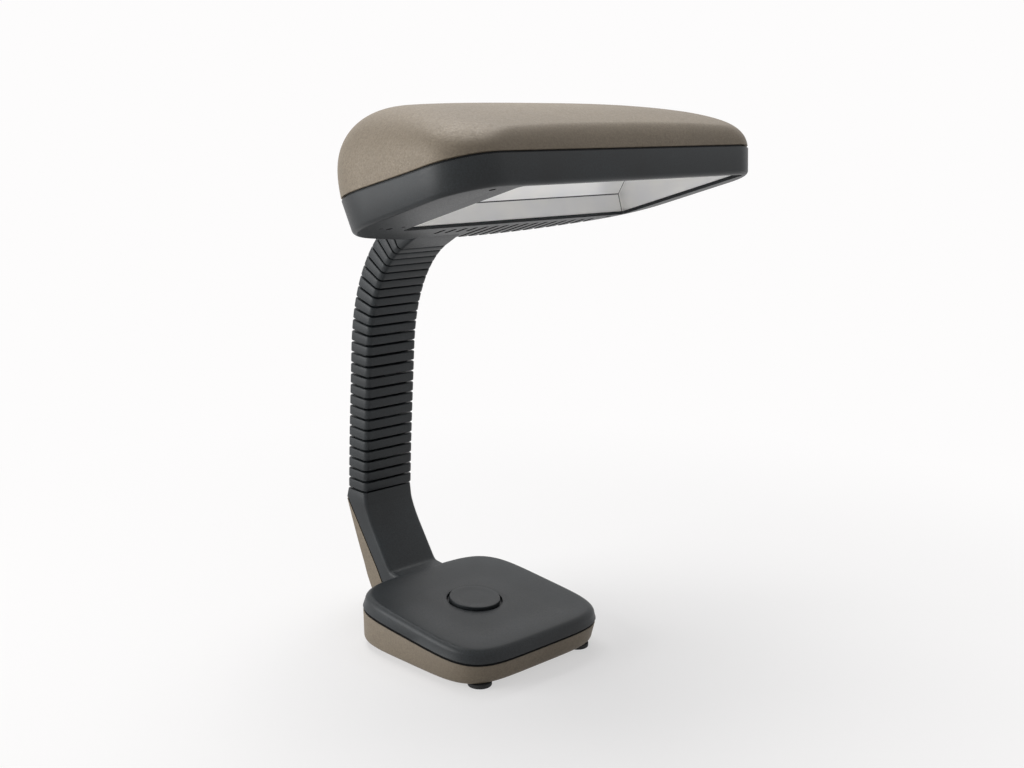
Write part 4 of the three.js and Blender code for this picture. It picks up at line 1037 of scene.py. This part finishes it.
small = [
    ("reflector", "folded_reflector", bright_sheet, "head", 0.4, "reflector", FOLD_ANGLE),
    ("lampholder", "lampholder_moulding", polyester, "head", 0.8, "white_plastic"),
    ("lamp_cap", "lamp_cap_moulding", polyester, "head", 1.0, "white_plastic"),
    ("lamp_clip", "lamp_spring_clip", spring_steel, "head", 0.15, "steel"),
    ("head_terminal_block", "head_terminals", polyester, "head", 0.5, "white_plastic"),
    ("base_terminal_block", "base_terminals", polyester, "base", 0.5, "white_plastic"),
    ("switch_body", "switch_housing", polyester, "base", 0.5, "white_plastic"),
    ("weight_plate", "steel_weight", zinc, "base", 0.5, "steel"),
    ("neck_anchor", "neck_anchor_block", black_steel, "base", 0.4, "steel"),
    ("cord_gland", "rubber_gland", rubber, "base", 0.3, "rubber"),
]
for fitting in small:
    made = softened(*fitting)
    print(made.name, len(made.data.polygons), "faces")

# %% Painted shade along the reflector's fold and its corner seam
FOLD_HEIGHT, CREASE_MM, SEAM_FROM_END = 17.4, 0.9, 2.4

foot, above = head_place([[0, 0, 0], [0, 0, 1]]) / MM
upwards = above - foot
_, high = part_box("reflector")
corner_x, half_crease = high.x - SEAM_FROM_END * MM, CREASE_MM / 2 * MM
tree = bright_sheet.node_tree
shader = tree.nodes["Principled BSDF"]
place = add(tree, "ShaderNodeTexCoord").outputs["Object"]
rise = add(tree, "ShaderNodeVectorMath", {0: place, 1: upwards.tolist()}, operation="DOT_PRODUCT")
across = add(tree, "ShaderNodeSeparateXYZ", {"Vector": place}).outputs["X"]
fold_at = (float(upwards @ foot) + FOLD_HEIGHT) * MM
# A thin band at the fold and at the corner seam is the mask for the painted shade.
at_fold = calculate(tree, "COMPARE", rise.outputs["Value"], fold_at, half_crease)
before_corner = calculate(tree, "LESS_THAN", across, corner_x)
fold_line = calculate(tree, "MULTIPLY", at_fold, before_corner)
corner_line = calculate(tree, "COMPARE", across, corner_x, half_crease)
dark = calculate(tree, "MAXIMUM", fold_line, corner_line)
sheet = shader.inputs["Base Color"].links[0].from_socket
# The masked band gets the dark grey #3c3c3e, a painted shadow line along the fold and the corner seam.
painted_crease_shade = add(tree, "ShaderNodeMixRGB", {"Fac": dark, "Color1": sheet, "Color2": linear("#3c3c3e")})
fill(tree, shader, {"Base Color": painted_crease_shade.outputs["Color"]})
print("fold line at", FOLD_HEIGHT, "mm over the frame's plane")

# %% Ballast board: green board, iron choke and wound capacitor
BOARD_TOP, CHOKE_PAST_MIDDLE = 3.6, 4

ballast = softened("ballast_board", "ballast_on_board", board, "base", 0.3, "board")
for material in (laminations, zinc):
    ballast.data.materials.append(material)
low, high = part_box("ballast_board")
centres = np.zeros(len(ballast.data.polygons) * 3)
ballast.data.polygons.foreach_get("center", centres)
x, _, z = centres.reshape(-1, 3).T
fitted = z > low.z + BOARD_TOP * MM
choke = fitted & (x < (low.x + high.x) / 2 + CHOKE_PAST_MIDDLE * MM)
finish = np.where(choke, 1, np.where(fitted, 2, 0)).astype(np.int32)
ballast.data.polygons.foreach_set("material_index", finish)
print("choke faces:", int(choke.sum()))

# %% [markdown]
# ## Lamp, feet and screws
# All three are turned or drawn shapes, so a lathe of radius and height pairs makes them. The tubes of
# the lamp are laid along X and bridged near their far end, and each screw has a cross cut into it.

# %% Twin-tube lamp
LAMP_Y, LAMP_Z, TUBE, TUBE_SPACING, LAMP_START, LAMP_END = -118.0, 26.0, 6.0, 14.5, -54.7, 166.0
BRIDGE, BRIDGE_INSET = 3.5, 10

profile = [(AXIS, 0.0), (TUBE - 0.6, 0.0), (TUBE, 2.0)]
for a in np.linspace(0, np.pi / 2, 10):
    profile.append((max(AXIS, TUBE * math.cos(a)), LAMP_END - LAMP_START - TUBE + TUBE * math.sin(a)))
tube = lathe(profile, 40)[..., [2, 0, 1]]
across, up = circle(BRIDGE, 24, (LAMP_END - BRIDGE_INSET, 0)).T
bridge = []
parts = []
for aside in (-TUBE_SPACING / 2, TUBE_SPACING / 2):
    parts.append(tube + [LAMP_START, LAMP_Y + aside, LAMP_Z])
    bridge.append(np.column_stack([across, np.full(len(up), LAMP_Y + aside), LAMP_Z - up]))
blocks = [block(head_place(part)) for part in (*parts, np.stack(bridge))]
make_piece("twin_tube_lamp", blocks, phosphor, "head", "lamp_tube")
print("lamp blocks:", len(blocks))

# %% Rubber feet
FOOT_X, FOOT_Y, FOOT_RADIUS, FOOT_ROUND = 52.0, 58.2, 9.0, 1.0
PLUG_RADIUS, PLUG_TOP = 3.0, 6.8

feet = [(side * FOOT_X, end * FOOT_Y + FITTINGS_Y) for side in (-1, 1) for end in (-1, 1)]
profile = [(AXIS, 0.25), (6.0, 0.2), (6.4, 0.0), (8.0, 0.0)]
profile += [(FOOT_RADIUS - inset, rise) for inset, rise in roll(FOOT_ROUND, 6)]
profile += [(FOOT_RADIUS, FOOT_HEIGHT), (PLUG_RADIUS, FOOT_HEIGHT)]
profile += [(PLUG_RADIUS, PLUG_TOP), (AXIS, PLUG_TOP)]
for number, (x, y) in enumerate(feet, 1):
    made = block(lathe(profile, 56) * MM + placed([x, y, table_at(y)]))
    make_piece(f"rubber_foot_{number}", [made], rubber, "base", f"foot_{number}")
print("feet at", [tuple(round(float(v), 1) for v in f) for f in feet])

# %% Screws with a cross recess
SCREW_HEAD, SCREW_THREAD, HOLE_DEPTH, SCREW_X, SCREW_Y = 1.6, 8.0, 1.0, 62.0, 28.0
HEAD_SCREW_SHARE = np.array([0.78, 0.78, 1.0])
TURNS, TURN_PITCH, ROOT_RADIUS, CREST_RADIUS = 9, 0.8, 1.05, 1.3
RECESS, RECESS_WIDTH, RECESS_DEPTH = 3.4, 0.7, 0.8

profile = [(AXIS, -1.6), (1.4, -1.58), (2.2, -1.35), (2.75, -0.9), (3.0, -0.35), (3.0, 0.0), (1.3, 0.0)]
for turn_number in range(TURNS):
    z = TURN_PITCH + turn_number * TURN_PITCH
    profile += [(ROOT_RADIUS, z), (CREST_RADIUS, z + TURN_PITCH / 2)]
profile += [(1.1, SCREW_THREAD), (AXIS, SCREW_THREAD)]
screw_rows = lathe(profile, 40)
bars = [rounded_rectangle(*plan, 0.1, 3) for plan in ((RECESS, RECESS_WIDTH), (RECESS_WIDTH, RECESS))]
cross = [tube_section(plan, -SCREW_HEAD - 0.5, -SCREW_HEAD + RECESS_DEPTH) for plan in bars]


def screw(name, node, body, place, seat, material, share=1.0):
    """One screw at its seat: a domed head below height zero, a threaded shank above it."""
    skin = block(place(screw_rows * share + seat))
    made = make_piece(name, [skin], material, body, node)
    for cutter in cross:
        carve(made, [block(place(cutter * share + seat))])


for number, (side, end) in enumerate([(-1, -1), (-1, 1), (1, -1), (1, 1)], 1):
    x, y = side * SCREW_X, end * SCREW_Y + FITTINGS_Y
    seat = np.array([x, y, table_at(y) + PAN_BOTTOM + SCREW_HEAD / 2 - SEAT_GAP])
    screw(f"base_screw_zinc_{number}", f"base_screw_{number}", "base", placed, seat, zinc)
for number, (x, y) in enumerate(SCREWS, 1):
    name, node = f"head_screw_black_{number}", f"head_screw_{number}"
    seat = np.array([x, y, SCREW_HEAD + HOLE_DEPTH])
    screw(name, node, "head", head_place, seat, black_steel, HEAD_SCREW_SHARE)
print("made 7 screws of", len(profile), "rings")

# %% [markdown]
# ## Studio
# The floor is a wide pale sheet. Near the lamp it takes the light and the shadow; further out it fades
# to plain white for the camera and for reflections, so that it meets the white background unseen. The
# key light is a soft panel behind the lamp and to its left; a larger one overhead lights the tops.

# %% Floor
NEAR_SHARE, FADE_FROM, FADE_TO = 0.55, 0.15, 0.75
WHITE, PALE = linear("#fdfcfc"), linear("#f4f3f2")


def plain_rays(tree):
    """One for camera, glossy and transmission rays, which see plain white, and nothing for all others."""
    path = add(tree, "ShaderNodeLightPath").outputs
    seen = calculate(tree, "MAXIMUM", path["Is Camera Ray"], path["Is Glossy Ray"])
    return calculate(tree, "MAXIMUM", seen, path["Is Transmission Ray"])


def bare_tree(owner):
    """The node tree of a material or a world, with its first nodes taken out."""
    owner.use_nodes = True
    owner.node_tree.nodes.clear()
    return owner.node_tree


floor_material = bpy.data.materials.new("studio_floor_pale")
tree = bare_tree(floor_material)
place = add(tree, "ShaderNodeTexCoord").outputs["Object"]
reach = add(tree, "ShaderNodeVectorMath", {0: place}, operation="LENGTH").outputs["Value"]
fade = spread(tree, reach, (NEAR_SHARE, 1.0), (FADE_FROM, FADE_TO), interpolation_type="SMOOTHSTEP")
share = calculate(tree, "MULTIPLY", plain_rays(tree), fade)
matt = add(tree, "ShaderNodeBsdfDiffuse", {"Color": PALE}).outputs["BSDF"]
plain = add(tree, "ShaderNodeEmission", {"Color": WHITE, "Strength": 1.0}).outputs["Emission"]
mix = add(tree, "ShaderNodeMixShader", {0: share, 1: matt, 2: plain})
add(tree, "ShaderNodeOutputMaterial", {"Surface": mix.outputs["Shader"]})

rings = [level(circle(radius, 96), 0.0) for radius in (0.02, 0.5, 2.0, 8.0, 30.0)]
points, faces = block(np.stack(rings))
floor_mesh = bpy.data.meshes.new("studio_floor")
floor_mesh.from_pydata(points.tolist(), [], [face[::-1] for face in faces[:-1]])
floor_mesh.materials.append(floor_material)
floor = show("studio_floor", floor_mesh)
floor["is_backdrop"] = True
print("floor faces:", len(floor_mesh.polygons))

# %% World: white for the camera, a soft grey room for the rest
ROOM_STRENGTH = 0.18

world = bpy.data.worlds.new("studio_room")
bpy.context.scene.world = world
tree = bare_tree(world)
room = add(tree, "ShaderNodeBackground", {"Color": linear("#e8eaee"), "Strength": ROOM_STRENGTH})
white = add(tree, "ShaderNodeBackground", {"Color": WHITE, "Strength": 1.0})
shades = {0: plain_rays(tree), 1: room.outputs["Background"], 2: white.outputs["Background"]}
mix = add(tree, "ShaderNodeMixShader", shades)
add(tree, "ShaderNodeOutputWorld", {"Surface": mix.outputs["Shader"]})
print("world made")

# %% Soft panels
AIM = np.array([0, 0, 0.2])


def panel(name, at, size, watts):
    """A square area light that faces the middle of the lamp."""
    light = bpy.data.lights.new(name, "AREA")
    light.shape, light.size, light.energy = "SQUARE", size, watts
    back = unit(at - AIM)
    stand(show(name, light), at, unit(np.cross([0, 0, 1], back)), back)


panel("key_left", (-1.5, 0.85, 0.6), 1.2, 22)
panel("top", (0.2, 0.4, 1.9), 1.4, 29)

# %% Sizes and finish
low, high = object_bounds()
print("visual box:", [round(v, 4) for v in low], [round(v, 4) for v in high])
